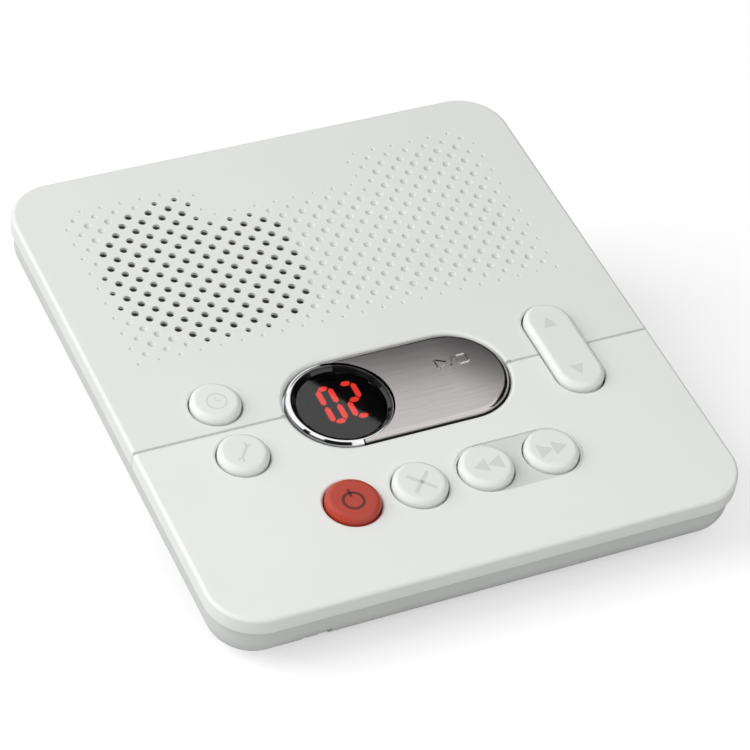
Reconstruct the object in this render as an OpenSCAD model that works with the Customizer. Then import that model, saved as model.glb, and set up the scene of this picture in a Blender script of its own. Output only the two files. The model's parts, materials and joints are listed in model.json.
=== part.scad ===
// Desk telephone answering machine: a sloping slab with a speaker grille, six round keys,
// a volume rocker, a round lit display and an oval key, on a narrower wedge-shaped foot.
// Slab parts are drawn flat, with the top face at z = 0, and are tilted by slab().

/* [Slab] */
// Width of the slab
case_w = 140; // [136:0.5:156]
// Depth of the slab, front to rear along its top face
case_d = 152.5; // [150:0.5:170]
// Plan radius of the slab's corners
corner_r = 12.5; // [10:0.5:16]
// Round along the top edge
top_edge_r = 1; // [0.6:0.1:1.6]
// Depth of the upper housing, top face to parting line
upper_h = 4.6; // [4.4:0.1:5.6]
// Depth of the whole slab, top face to underside
slab_h = 16; // [15.5:0.5:19]
// Round along the bottom edge of the lower housing
low_edge_r = 6.5; // [3:0.5:7]
// How far the lower housing's side stands in from the upper housing's
low_inset = 1; // [0.4:0.1:1.6]
// Wall thickness of both housings
wall = 2.2; // [1.8:0.1:2.4]
// Slope of the top face
tilt = 14; // [11:0.5:16]
// Height of the slab's lowest edge above the desk
front_clear = 3; // [2.5:0.5:6]
// Height of the locating lip inside the parting line
lip_h = 1.2; // [0.8:0.1:1.6]
// Thickness of the locating lip
lip_t = 1; // [0.8:0.1:1.4]
// Gap between the locating lip and the upper housing
lip_gap = 0.15; // [0.1:0.05:0.3]

/* [Foot] */
// Plan radius of the foot's corners
pan_r = 9; // [5:0.5:14]
// Set-back of the foot's front wall from the slab's front
pan_front_back = 14; // [12:1:24]
// Set-back of the foot's rear wall from the slab's rear
pan_rear_back = 11; // [10:0.5:13]
// Round along the foot's bottom edge
pan_edge_r = 1.5; // [0.8:0.1:2]
// Diameter of the rubber feet
foot_d = 11; // [8:0.5:13]
// How far the rubber feet stand below the foot
foot_proud = 1.5; // [1:0.1:2.2]
// Depth of the recess that holds each rubber foot
foot_sink = 1; // [0.6:0.1:1.2]
// Distance from a foot's centre to the walls beside it
foot_edge = 12; // [10:0.5:16]

/* [Seam] */
// Place of the groove across the top face, from the middle of the slab
seam_y = -18.4; // [-20:0.1:-17]
// Width of the groove
seam_w = 0.8; // [0.4:0.1:1.4]

/* [Speaker grille] */
// Distance between holes along a row
hole_pitch = 5.5; // [5:0.1:5.6]
// Distance between rows
row_pitch = 2.75; // [2.5:0.05:2.8]
// Number of holes in the longer rows
grille_cols = 22; // [16:1:22]
// Number of rows
grille_rows = 21; // [15:1:21]
// Distance of the rear row from the slab's rear
grille_rear = 12.45; // [12:0.05:13]
// Number of holes left out of the rear rows, for the bare name field
field_cols = 8; // [4:1:10]
// Number of rows that the bare name field takes
field_rows = 4; // [2:1:6]
// Diameter of a through hole
hole_d = 2; // [1:0.1:2.2]
// Diameter of a blind dimple
dimple_d = 2; // [1.2:0.1:2.2]
// Depth of a blind dimple
dimple_depth = 0.45; // [0.2:0.05:0.5]
// Size of the outermost ring of holes, as a part of the full size
rim_share = 0.5; // [0.4:0.05:0.8]
// Size of the next ring of holes, as a part of the full size
next_share = 0.75; // [0.6:0.05:0.9]

/* [Speaker] */
// Distance of the speaker's centre from the slab's left side
speaker_side = 40.6; // [40:0.1:42]
// Distance of the speaker's centre from the slab's rear
speaker_rear = 41.05; // [40:0.05:42]
// Outer diameter of the speaker
speaker_d = 57; // [54:0.5:58]
// Radius of the part of the grille that is drilled through
drilled_r = 26.6; // [22:0.1:27]
// Thickness of the foam gasket
gasket_t = 2.4; // [2:0.1:3]
// Thickness of the speaker's mounting flange
speaker_flange_t = 1.2; // [1:0.1:1.6]
// Depth of the basket below the flange
basket_h = 7; // [6:0.5:8]
// Diameter of the magnet
magnet_d = 30; // [26:1:32]
// Thickness of the magnet
magnet_t = 5.5; // [4:0.5:7]

/* [Keys] */
// Travel of the keys
key_travel = 0.8; // [0.5:0.1:0.9]
// Height of the round keys and the rocker above the top face
key_rise = 1.7; // [1.2:0.1:2.4]
// Round along the top edge of the keys
key_edge_r = 1.5; // [0.6:0.1:1.5]
// Gap between a key and its opening
key_gap = 0.35; // [0.3:0.05:0.5]
// Opening diameter of the two keys at the left
side_key_d = 13.4; // [12:0.1:14]
// Opening diameter of the four keys at the front
front_key_d = 14.4; // [13:0.1:15]
// Distance of the two left keys from the slab's left side
side_key_in = 24.9; // [24:0.1:26]
// Distance of each left key from the seam
side_key_dy = 8.75; // [8.6:0.05:9.2]
// Place of the front keys from the middle of the slab
front_key_y = -49.2; // [-51:0.1:-48.6]
// Place of the front row's middle across the slab
front_key_x = 0.4; // [-1:0.1:2]
// Distance between front keys
front_key_pitch = 17.7; // [17.4:0.1:18.4]
// Depth of the shallow channel that joins the last two front keys
channel_depth = 0.3; // [0.2:0.05:0.5]
// Round at the rim of each key opening
rim_r = 0.7; // [0.2:0.05:0.8]
// Distance of the rocker from the slab's right side
rocker_in = 24.1; // [23.5:0.1:25]
// Width of the rocker's opening
rocker_w = 13.3; // [12.5:0.1:14]
// Length of the rocker's opening
rocker_l = 31.3; // [29:0.1:32]
// Gap at the rocker's ends
rocker_end_gap = 0.5; // [0.45:0.05:0.7]
// Depth of the rocker's pivot below the top face
pivot_depth = 4.2; // [4:0.1:4.5]
// Diameter of the rocker's pin
pin_d = 2; // [1.6:0.1:2.2]

/* [Display and oval key] */
// Length of the oval opening
oval_w = 59.3; // [57:0.1:61]
// Width of the oval opening
oval_h = 28.7; // [28:0.1:30]
// Place of the oval's middle across the slab
oval_x = -0.1; // [-1.5:0.1:0.5]
// Round at the rim of the oval opening
oval_rim_r = 1.1; // [0.6:0.1:1.4]
// Height of the oval key above the top face
oval_rise = 0.6; // [0.4:0.1:1]
// Round along the oval key's edge
oval_edge_r = 1.5; // [1:0.1:1.6]
// Height of the display bezel above the top face
bezel_rise = 0.1; // [0:0.1:0.4]
// Round along the bezel's outer edge
bezel_edge_r = 1.1; // [0.8:0.1:1.3]
// Width of the bezel's ring, from its crest to the lens
bezel_ring_w = 1.5; // [1.2:0.1:1.8]
// How far the lens lies below the top face
lens_sink = 0.9; // [0.6:0.1:1.1]
// Thickness of the lens
lens_t = 0.8; // [0.6:0.1:1]
// Height of a digit
digit_h = 12.6; // [10:0.1:13]
// Width of a digit
digit_w = 4.7; // [4:0.1:5]
// Distance between the digits
digit_pitch = 6.1; // [5.6:0.1:6.4]
// Width of a lit segment
segment_w = 1.4; // [0.9:0.1:1.5]
// Gap at each end of a lit segment
segment_gap = 0.3; // [0.15:0.05:0.4]

/* [Key board] */
// Depth of the key board's top below the top face
key_board_depth = 8; // [7.8:0.1:8.8]
// Thickness of both circuit boards
board_t = 1.6; // [1.2:0.2:1.6]
// Distance of the key board's sides from the slab's sides
key_board_side = 17; // [16.5:0.5:20]
// Distance of the key board's front from the slab's front
key_board_in = 12.25; // [12:0.25:14]
// Height of a switch body
switch_h = 3; // [2.6:0.1:3.2]
// Side of a switch body
switch_a = 6; // [5:0.5:6]
// How far a switch's plunger stands out of its body
plunger_rise = 1; // [1:0.1:1.2]
// Diameter of a switch's plunger
plunger_d = 3.4; // [2.6:0.1:3.6]

/* [Main board and sockets] */
// Width of the main board; the foot is as wide as the board needs
main_board_w = 88; // [80:1:98]
// Gap between the main board's sides and the foot's walls
board_side_gap = 3.8; // [3.5:0.1:5]
// Length of the main board, front to rear
main_board_l = 62; // [56:1:66]
// Height of the posts under the main board
main_post_h = 4; // [3:0.5:5]
// Place of the line socket across the foot
line_x = 20; // [18:0.5:21]
// Place of the telephone socket across the foot
phone_x = 2; // [0:0.5:4]
// Place of the power socket across the foot
power_x = 37; // [35:0.5:38]
// Width of a telephone socket's body
jack_w = 13.2; // [12.5:0.1:14]
// Height of a telephone socket's body
jack_h = 12.4; // [11.5:0.1:13]
// Length of a telephone socket's body
jack_l = 17; // [15:0.5:18]
// Width of the plug space in a telephone socket
plug_w = 9.8; // [9.6:0.1:10]
// Height of the plug space in a telephone socket
plug_h = 6.8; // [6.6:0.1:7]
// Bore of the power socket
power_bore_d = 6.2; // [5.7:0.1:6.6]

/* [Fasteners] */
// Place of the housing screws from the slab's sides
screw_side = 11; // [10.5:0.1:12]
// Place of the housing screws from the slab's front and rear
screw_end = 14; // [12:0.5:16]
// Shank diameter of the housing screws
screw_d = 2.6; // [2:0.1:3]
// Head diameter of the housing screws
screw_head_d = 5; // [4.4:0.1:5.2]

/* [Hidden] */

$fn = 48;
eps = 0.01;

// Colours, as the photograph shows them
white = "#E2E4E1";
pale = "#D8D9D7";
chrome = "#C9C6C6";
red = "#C8503C";
black = "#2B2D2F";
green = "#2F6B46";
steel = "#B7B9BB";
foam = "#6E7072";

// Heights in the slab's own frame, negative downwards
ceiling_z = -wall;
parting_z = -upper_h;
floor_z = -slab_h + wall;
flange_gap = 0.3;
flange_t = 1.2;
flange_lip = 1.2;
flange_z = ceiling_z - flange_gap;
board_z = -key_board_depth;
switch_z = board_z + switch_h;
plunger_z = switch_z + plunger_rise;
plunger_depth = 1.2;
plunger_clear = 0.15;
cap_wall = 1.5;
stem_r = 2.2;

// Places of the slab in the row's frame: origin midway front to rear, on the desk
low_flat_y = case_d / 2 - low_inset - low_edge_r;
slab_y = -(rear_reach() - front_reach()) / 2;
slab_z = front_clear + low_edge_r + low_flat_y * sin(tilt) + (slab_h - low_edge_r) * cos(tilt);
function rear_reach() =
    low_flat_y * cos(tilt) + (slab_h - low_edge_r) * sin(tilt) + low_edge_r;
function front_reach() =
    (case_d / 2 - top_edge_r) * cos(tilt) - top_edge_r * sin(tilt) + top_edge_r;
// A slab point's place in the row's frame
function world_y(y, z) = slab_y + y * cos(tilt) - z * sin(tilt);
function world_z(y, z) = slab_z + y * sin(tilt) + z * cos(tilt);

// Foot, in the row's frame
pan_w = main_board_w + 2 * (board_side_gap + wall);
pan_front = world_y(-case_d / 2 + pan_front_back, -slab_h);
pan_rear = world_y(case_d / 2 - pan_rear_back, -slab_h);
pan_d = pan_rear - pan_front;
pan_y = (pan_rear + pan_front) / 2;
pan_bottom = foot_proud;
pan_floor = pan_bottom + wall;
pan_top = world_z(case_d / 2, 0);

// Speaker and key places in the slab's frame
speaker_x = -case_w / 2 + speaker_side;
speaker_y = case_d / 2 - speaker_rear;
side_key_x = -case_w / 2 + side_key_in;
rocker_x = case_w / 2 - rocker_in;
clock_at = [side_key_x, seam_y + side_key_dy];
setup_at = [side_key_x, seam_y - side_key_dy];
function front_key_at(i) = [front_key_x + (i - 1.5) * front_key_pitch, front_key_y];
front_r = front_key_d / 2;
side_r = side_key_d / 2;
rocker_reach = rocker_l / 2 - rocker_w / 2;
rocker_foot_y = 9.5;
rocker_foot_gap = 0.75;

// Oval opening and the round display in its left end
oval_r = oval_h / 2;
oval_reach = oval_w / 2 - oval_r;
display_at = [oval_x - oval_reach, seam_y];
oval_key_r = oval_r - key_gap;
crest_r = oval_key_r - bezel_edge_r;
lens_r = crest_r - bezel_ring_w;
lens_edge = 0.3;
lens_gap = 0.1;
ledge_w = 0.8;
window_r = lens_r - ledge_w;
key_split = 0.3;
digits_at = display_at + [1.2, 1.3];
led_z = -lens_sink - lens_t - 0.25;
segment_t = 0.15;
play_switch_x = [6, 20];

// Speaker stack, in the slab's frame
speaker_r = speaker_d / 2;
speaker_flange_z = ceiling_z - gasket_t;
speaker_back_z = speaker_flange_z - speaker_flange_t;
collar_gap = 0.3;
collar_t = 1.5;
collar_r = speaker_r + collar_gap + collar_t;
clamp_boss_r = 2.4;
clamp_reach = collar_r + clamp_boss_r + 0.8;
clamp_t = 1;
clamp_l = 10.5;
clamp_w = 5;
clamp_angles = [90, 210, 330];
basket_r = magnet_d / 2 + 2;
basket_t = 1;
basket_z = speaker_back_z - basket_h;

// Screws
screw_r = screw_d / 2;
screw_fit = 0.06;
head_r = screw_head_d / 2;
head_t = 1.9;
head_gap = 0.3;
small_screw_r = 1;
small_head_r = 2;
small_head_t = 1.3;
boss_r = 2.6;
post_r = 4;
post_top = -9;
counterbore = 3.6;

key_board_w = case_w - 2 * key_board_side;
key_board_front = -case_d / 2 + key_board_in;
key_board_rear = 0.5;
key_screw_in = 3.5;
key_screws = [
    [-case_w / 2 + 35, -4], [case_w / 2 - 35, -4],
    [-key_board_w / 2 + key_screw_in, key_board_front + key_screw_in],
    [key_board_w / 2 - key_screw_in, key_board_front + key_screw_in],
    [-17.4, -37.9], [18.1, -37.9]
];

// Main board, in the row's frame
socket_face = pan_rear - 0.4;
board_gap = 0.6;
main_rear = pan_rear - wall - board_gap;
main_front = main_rear - main_board_l;
main_z = pan_floor + main_post_h;
parts_z = main_z + board_t;
main_edge = 5;
main_screws = [
    [-main_board_w / 2 + main_edge, main_front + main_edge],
    [main_board_w / 2 - main_edge, main_front + main_edge],
    [-main_board_w / 2 + main_edge, main_rear - main_edge],
    [main_board_w / 2 - main_edge, main_rear - 24]
];
socket_wall = 1.6;
plug_depth = 13;
latch_w = 6.2;
latch_h = 2;
power_w = 9;
power_h = 11;
power_l = 13;
power_axis_z = parts_z + power_h - 4.7;

// Microphone port in the front rim
notch_x = -case_w / 2 + 24.7;
notch_w = 7.4;
notch_top = -10.6;
boot_r = 3.6;
boot_h = 4.4;
capsule_r = 2.7;
capsule_h = 2.4;
boot_gap = 0.15;
boot_y = -case_d / 2 + wall + low_inset + boot_r + 1.4;

// ---------------------------------------------------------------- shared shapes

// Everything drawn in the slab's own frame goes through here
module slab() {
    translate([0, slab_y, slab_z]) rotate([tilt, 0, 0]) children();
}

// Flat outline with round corners
module rounded_rect(w, d, r) {
    square([w - 2 * r, d], center = true);
    square([w, d - 2 * r], center = true);
    for (x = [-1, 1], y = [-1, 1]) translate([x * (w / 2 - r), y * (d / 2 - r)]) circle(r);
}

// Half section of a plate with a round of radius e along its top edge, at z from -h to 0
module edge_section(reach, h, e) {
    translate([0, -h]) square([reach - e, h]);
    translate([0, -h]) square([reach, h - e]);
    translate([reach - e, -e]) intersection() {
        circle(e);
        square(e);
    }
}

// Plate with plan corner radius r and a round along its whole top edge
module edged_plate(w, d, h, r, e) {
    for (x = [-1, 1], y = [-1, 1]) {
        translate([x * (w / 2 - r), y * (d / 2 - r), 0])
            rotate_extrude() intersection() {
                edge_section(r, h, e);
                translate([0, -h]) square([r, h]);
            }
    }
    for (side = [0, 1]) {
        across = side == 0 ? d : w;
        along = (side == 0 ? w : d) - 2 * r;
        rotate([0, 0, side * 90]) rotate([90, 0, 90])
            linear_extrude(along, center = true) {
                edge_section(across / 2, h, e);
                mirror([1, 0]) edge_section(across / 2, h, e);
            }
    }
}

// Stadium plate whose long axis is Y, with a round of radius e along its top edge
module edged_stadium(reach, r, h, e) {
    for (y = [-reach, reach]) translate([0, y, 0]) rotate_extrude() intersection() {
        edge_section(r, h, e);
        translate([0, -h]) square([r, h]);
    }
    rotate([90, 0, 0]) linear_extrude(2 * reach, center = true) {
        edge_section(r, h, e);
        mirror([1, 0]) edge_section(r, h, e);
    }
}

// Straight-sided stadium prism along X or Y, from z = low to z = high
module stadium(reach, r, low, high, along_x = false) {
    turn = along_x ? 90 : 0;
    translate([0, 0, low]) rotate([0, 0, turn]) linear_extrude(high - low) {
        for (y = [-reach, reach]) translate([0, y]) circle(r);
        square([2 * r, 2 * reach], center = true);
    }
}

// Half section of what rounds the rim of an opening, outside its reach
module rim_section(reach, e) {
    difference() {
        translate([reach - eps, -e]) square([e + eps, e + 1]);
        translate([reach + e, -e]) circle(e);
    }
}

// Cutter for a round hole through the top plate with a rounded rim
module rim_hole(r) {
    translate([0, 0, -wall - 1]) cylinder(r = r, h = wall + 2);
    rotate_extrude() rim_section(r, rim_r);
}

// Cutter for a stadium opening along Y through the top plate, with a rounded rim
module rim_stadium(reach, r, e) {
    stadium(reach, r, -wall - 1, 1);
    for (turn = [0, 180]) rotate([0, 0, turn]) {
        translate([0, reach, 0]) rotate_extrude(angle = 180) rim_section(r, e);
        rotate([90, 0, 0]) linear_extrude(2 * reach, center = true) rim_section(r, e);
    }
}

// Self-tapping screw along -Z, its head's seat at z = 0 and its head below
module screw(shank_r, length, cap_r, cap_t) {
    cylinder(r = shank_r, h = length - shank_r);
    translate([0, 0, length - shank_r]) cylinder(r1 = shank_r, r2 = shank_r * 0.3, h = shank_r);
    difference() {
        translate([0, 0, -cap_t]) cylinder(r1 = cap_r * 0.8, r2 = cap_r, h = cap_t);
        for (turn = [0, 90]) rotate([0, 0, turn])
            translate([0, 0, -cap_t]) cube([cap_r * 1.2, cap_r * 0.28, cap_t], center = true);
    }
}

// ---------------------------------------------------------------- grille pattern

// Column i counts half pitches and row j counts rows; a hole stands where i + j is even
last_col = 2 * (grille_cols - 1);
last_row = grille_rows - 1;
field_low = last_col / 2 - field_cols + 1;
field_high = last_col / 2 + field_cols - 1;
field_row = grille_rows - field_rows;
grille_front_y = case_d / 2 - grille_rear - last_row * row_pitch;
function grille_place(i, j) =
    [(i - last_col / 2) * hole_pitch / 2, grille_front_y + j * row_pitch];
function in_field(i, j) = i >= field_low && i <= field_high && j >= field_row;
function is_corner(i, j) = (i == 0 || i == last_col) && j == last_row;
function is_hole(i, j) = (i + j) % 2 == 0 && !in_field(i, j) && !is_corner(i, j);
// Steps from the pattern's edge, counting the bare field's edge too
function edge_steps(i, j) = min(
    i, last_col - i, j, last_row - j,
    max(field_low - 1 - i, i - field_high - 1, field_row - 1 - j)
);
function hole_share(i, j) =
    edge_steps(i, j) == 0 ? rim_share : edge_steps(i, j) == 1 ? next_share : 1;
function is_drilled(i, j) =
    edge_steps(i, j) > 0 && norm(grille_place(i, j) - [speaker_x, speaker_y]) < drilled_r;

module grille_cuts() {
    for (j = [0 : last_row], i = [0 : last_col]) if (is_hole(i, j)) {
        share = hole_share(i, j);
        at = grille_place(i, j);
        if (is_drilled(i, j)) {
            translate([at.x, at.y, -wall - 1]) cylinder(d = hole_d * share, h = wall + 2);
        } else {
            // A shallow dish: its sphere meets the top face in a circle of the dimple's size
            dish_r = dimple_d * share / 2;
            depth = dimple_depth * share;
            ball_r = (dish_r * dish_r + depth * depth) / (2 * depth);
            translate([at.x, at.y, ball_r - depth]) sphere(r = ball_r);
        }
    }
}

// ---------------------------------------------------------------- housings

module screw_places() {
    for (x = [-1, 1], y = [-1, 1])
        translate([x * (case_w / 2 - screw_side), y * (case_d / 2 - screw_end), 0]) children();
}

module upper_shell() {
    difference() {
        edged_plate(case_w, case_d, upper_h, corner_r, top_edge_r);
        translate([0, 0, parting_z - 1]) linear_extrude(upper_h - wall + 1)
            rounded_rect(case_w - 2 * wall, case_d - 2 * wall, corner_r - wall);
    }
}

// Side of the square notch where the seam meets the oval
seam_notch = 1.2;

// Ears that carry the rocker's pin
ear_t = 2;
ear_gap = 0.5;
ear_w = 5;
ear_x = rocker_w / 2 + ear_gap;
module rocker_ears() {
    for (side = [-1, 1]) translate([rocker_x + side * (ear_x + ear_t / 2), seam_y, 0]) {
        translate([0, 0, (ceiling_z - pivot_depth) / 2])
            cube([ear_t, ear_w, pivot_depth + ceiling_z], center = true);
        translate([0, 0, -pivot_depth]) rotate([0, 90, 0])
            cylinder(r = ear_w / 2, h = ear_t, center = true);
    }
}

module upper_housing() {
    color(white) slab() difference() {
        union() {
            upper_shell();
            screw_places() translate([0, 0, post_top])
                cylinder(r = post_r - 0.8, h = -post_top - wall / 2);
            for (at = key_screws) translate([at.x, at.y, board_z])
                cylinder(r = boss_r, h = -board_z - wall / 2);
            translate([speaker_x, speaker_y, speaker_back_z]) difference() {
                cylinder(r = collar_r, h = -speaker_back_z - wall / 2, $fn = 96);
                translate([0, 0, -1])
                    cylinder(r = collar_r - collar_t, h = ceiling_z - speaker_back_z + 1, $fn = 96);
            }
            for (turn = clamp_angles) translate([speaker_x, speaker_y, speaker_back_z])
                rotate([0, 0, turn]) translate([clamp_reach, 0, 0])
                    cylinder(r = clamp_boss_r, h = -speaker_back_z - wall / 2);
            rocker_ears();
        }
        // Groove across the top face and down both sides
        translate([0, seam_y, 0]) rotate([45, 0, 0])
            cube([case_w + 2, seam_w / sqrt(2), seam_w / sqrt(2)], center = true);
        for (x = [-1, 1]) translate([x * case_w / 2, seam_y, 0]) rotate([0, 0, 45])
            cube([seam_w / sqrt(2), seam_w / sqrt(2), 2 * upper_h + 2], center = true);
        // Key openings
        for (at = [clock_at, setup_at]) translate([at.x, at.y, 0]) rim_hole(side_r);
        for (i = [0 : 3]) translate([front_key_at(i).x, front_key_at(i).y, 0]) rim_hole(front_r);
        translate([front_key_x + front_key_pitch, front_key_y, 0])
            stadium(front_key_pitch / 2, front_r + rim_r, -channel_depth, 1, true);
        translate([rocker_x, seam_y, 0]) rim_stadium(rocker_reach, rocker_w / 2, rim_r);
        translate([oval_x, seam_y, 0]) {
            rotate([0, 0, 90]) rim_stadium(oval_reach, oval_r, oval_rim_r);
            // The seam widens into a small notch at each end of the oval
            for (x = [-1, 1]) translate([x * (oval_w / 2 + oval_rim_r), 0, 0]) rotate([0, 0, 45])
                cube([seam_notch, seam_notch, 2 * seam_w], center = true);
        }
        // Pilot holes
        screw_places() translate([0, 0, post_top - 1])
            cylinder(r = screw_r + screw_fit, h = 6.4);
        for (at = key_screws) translate([at.x, at.y, board_z - 1])
            cylinder(r = small_screw_r + screw_fit, h = 5.4);
        for (turn = clamp_angles) translate([speaker_x, speaker_y, speaker_back_z])
            rotate([0, 0, turn]) translate([clamp_reach, 0, -1])
                cylinder(r = small_screw_r + screw_fit, h = 3.6);
        translate([rocker_x, seam_y, -pivot_depth]) rotate([0, 90, 0])
            cylinder(d = pin_d + 2 * screw_fit, h = 2 * (ear_x + ear_t) + 1, center = true);
        grille_cuts();
    }
}

// Lower half of the slab: a tray with a large round along its bottom edge
module lower_tray() {
    low_w = case_w - 2 * low_inset;
    low_d = case_d - 2 * low_inset;
    translate([0, 0, -slab_h]) mirror([0, 0, 1])
        edged_plate(low_w, low_d, slab_h - upper_h, corner_r - low_inset, low_edge_r);
}

// The tray's hollow keeps one wall's thickness inside the large round
module tray_hollow() {
    hollow_w = case_w - 2 * low_inset - 2 * wall;
    hollow_d = case_d - 2 * low_inset - 2 * wall;
    depth = slab_h - upper_h - wall;
    translate([0, 0, floor_z]) mirror([0, 0, 1])
        edged_plate(hollow_w, hollow_d, depth + 1, corner_r - low_inset - wall,
            max(low_edge_r - wall, 0.3));
}

// Locating lip that stands up inside the upper housing
module tray_lip() {
    lip_w = case_w - 2 * wall - 2 * lip_gap;
    lip_d = case_d - 2 * wall - 2 * lip_gap;
    lip_r = corner_r - wall - lip_gap;
    // Thick enough to stand on the tray's wall, which lies further in
    inner = max(lip_t, low_inset - lip_gap + 0.4);
    translate([0, 0, parting_z - 1]) linear_extrude(lip_h + 1) difference() {
        rounded_rect(lip_w, lip_d, lip_r);
        rounded_rect(lip_w - 2 * inner, lip_d - 2 * inner, lip_r - inner);
    }
}

// Upright prism of the foot, clipped to stay under the slab's floor
module pan_prism(inset, bottom, edge) {
    intersection() {
        translate([0, pan_y, bottom]) mirror([0, 0, 1])
            edged_plate(pan_w - 2 * inset, pan_d - 2 * inset, pan_top, pan_r - inset, edge);
        slab() translate([-case_w, -case_d, -4 * slab_h - case_d / 2])
            cube([2 * case_w, 2 * case_d, 4 * slab_h + case_d / 2 - slab_h + wall / 2]);
    }
}

foot_places = [
    [pan_w / 2 - foot_edge, pan_front + foot_edge],
    [-pan_w / 2 + foot_edge, pan_front + foot_edge],
    [pan_w / 2 - foot_edge, pan_rear - foot_edge],
    [-pan_w / 2 + foot_edge, pan_rear - foot_edge]
];

// Windows through the rear wall for the three sockets
window_gap = 0.25;
module socket_windows() {
    for (x = [line_x, phone_x])
        translate([x - jack_w / 2 - window_gap, pan_rear - wall - 1, parts_z - window_gap])
            cube([jack_w + 2 * window_gap, wall + 2, jack_h + 2 * window_gap]);
    translate([power_x - power_w / 2 - window_gap, pan_rear - wall - 1, parts_z - window_gap])
        cube([power_w + 2 * window_gap, wall + 2, power_h + 2 * window_gap]);
}

module lower_housing() {
    color(white) difference() {
        union() {
            difference() {
                union() {
                    slab() lower_tray();
                    pan_prism(0, pan_bottom, pan_edge_r);
                }
                slab() tray_hollow();
                pan_hollow();
            }
            slab() intersection() {
                tray_lip();
                translate([0, 0, parting_z + lip_h / 2]) cube([case_w, case_d, 2 * slab_h], center = true);
            }
            slab() screw_places() translate([0, 0, -slab_h + low_edge_r / 4])
                cylinder(r = post_r, h = slab_h + post_top - low_edge_r / 4);
            for (at = main_screws) translate([at.x, at.y, pan_bottom + wall / 2])
                cylinder(r = boss_r, h = main_z - pan_bottom - wall / 2);
            for (at = foot_places) translate([at.x, at.y, pan_bottom])
                cylinder(r = foot_d / 2 + 1.4, h = wall + foot_sink);
            slab() translate([notch_x, boot_y, floor_z - wall / 2]) difference() {
                cylinder(r = boot_r + 1.3, h = wall / 2 + boot_h - 1);
                translate([0, 0, wall / 2]) cylinder(r = boot_r + boot_gap, h = boot_h);
            }
        }
        // The boot's seat reaches into the round along the tray's front
        slab() translate([notch_x, boot_y, floor_z]) cylinder(r = boot_r + boot_gap, h = boot_h);
        slab() screw_places() {
            translate([0, 0, -slab_h - 1]) cylinder(r = head_r + head_gap, h = counterbore + 1);
            translate([0, 0, -slab_h]) cylinder(r = screw_r + 0.3, h = slab_h);
        }
        for (at = main_screws) translate([at.x, at.y, pan_floor - 0.6])
            cylinder(r = small_screw_r + screw_fit, h = main_post_h + 2);
        for (at = foot_places) translate([at.x, at.y, pan_bottom - 1])
            cylinder(r = foot_d / 2 + 0.1, h = foot_sink + 1);
        socket_windows();
        // Microphone port in the front rim, its left end sloped
        slab() translate([notch_x, -case_d / 2, notch_top]) rotate([90, 0, 0])
            linear_extrude(2 * (low_inset + wall) + 0.6, center = true) polygon([
                [-notch_w / 2 + 0.6, 0], [notch_w / 2, 0],
                [notch_w / 2 + 0.4, -slab_h], [-notch_w / 2 - 2, -slab_h]
            ]);
    }
}

// Hollow of the foot, open into the tray above it
module pan_hollow() {
    intersection() {
        translate([0, pan_y, pan_floor]) linear_extrude(pan_top)
            rounded_rect(pan_w - 2 * wall, pan_d - 2 * wall, pan_r - wall);
        slab() translate([-case_w, -case_d, -4 * slab_h - case_d / 2])
            cube([2 * case_w, 2 * case_d, 4 * slab_h + case_d / 2 - upper_h - lip_h]);
    }
}

module housing_screws() {
    color(steel) slab() screw_places() translate([0, 0, -slab_h + counterbore])
        screw(screw_r, slab_h - counterbore + post_top + 5, head_r, head_t);
}

module rubber_feet() {
    color(black) for (at = foot_places) translate([at.x, at.y, 0]) {
        cylinder(r1 = foot_d / 2 - 0.5, r2 = foot_d / 2, h = 0.5);
        translate([0, 0, 0.5]) cylinder(d = foot_d, h = foot_proud + foot_sink - 0.5);
    }
}

// ---------------------------------------------------------------- display

// Ring round the lens, with the skirt that rounds off its outer left half
ring_crest_r = 0.35;
module display_bezel() {
    low = flange_z - flange_t;
    lens_z = -lens_sink - lens_t;
    seat_r = lens_r + lens_gap;
    crest_mid = crest_r - ring_crest_r;
    crest_low = bezel_rise - ring_crest_r;
    color(chrome) slab() translate([display_at.x, display_at.y, 0]) {
        rotate_extrude($fn = 96) {
            polygon([
                [window_r, low], [crest_r, low], [crest_r, crest_low],
                [crest_mid - ring_crest_r, crest_low], [seat_r, -lens_sink],
                [seat_r, lens_z], [window_r, lens_z]
            ]);
            translate([crest_mid, crest_low]) circle(ring_crest_r, $fn = 24);
        }
        rotate([0, 0, 90]) rotate_extrude(angle = 180, $fn = 96) {
            translate([crest_mid, low]) square([bezel_edge_r + ring_crest_r,
                bezel_rise - bezel_edge_r - low]);
            translate([crest_mid, low]) square([ring_crest_r, bezel_rise - low]);
            translate([crest_r, bezel_rise - bezel_edge_r]) intersection() {
                circle(bezel_edge_r);
                square(bezel_edge_r);
            }
            translate([crest_r, low]) square([oval_r + flange_lip - crest_r, ceiling_z - low]);
        }
    }
}

module display_lens() {
    color("#1C2022") slab() translate([display_at.x, display_at.y, -lens_sink - lens_t]) {
        cylinder(r = lens_r, h = lens_t - lens_edge, $fn = 96);
        translate([0, 0, lens_t - lens_edge])
            cylinder(r1 = lens_r, r2 = lens_r - lens_edge, h = lens_edge, $fn = 96);
    }
}

led_w = digit_pitch + digit_w + 0.9;
led_l = digit_h + 1;
module led_display() {
    color(black) slab() translate([digits_at.x, digits_at.y, (led_z + board_z) / 2])
        cube([led_w, led_l, led_z - board_z], center = true);
}

// One lit bar with pointed ends, lying along X
module bar(length) {
    half = length / 2 - segment_gap;
    tip = segment_w / 2;
    polygon([
        [-half, 0], [-half + tip, tip], [half - tip, tip],
        [half, 0], [half - tip, -tip], [-half + tip, -tip]
    ]);
}

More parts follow.
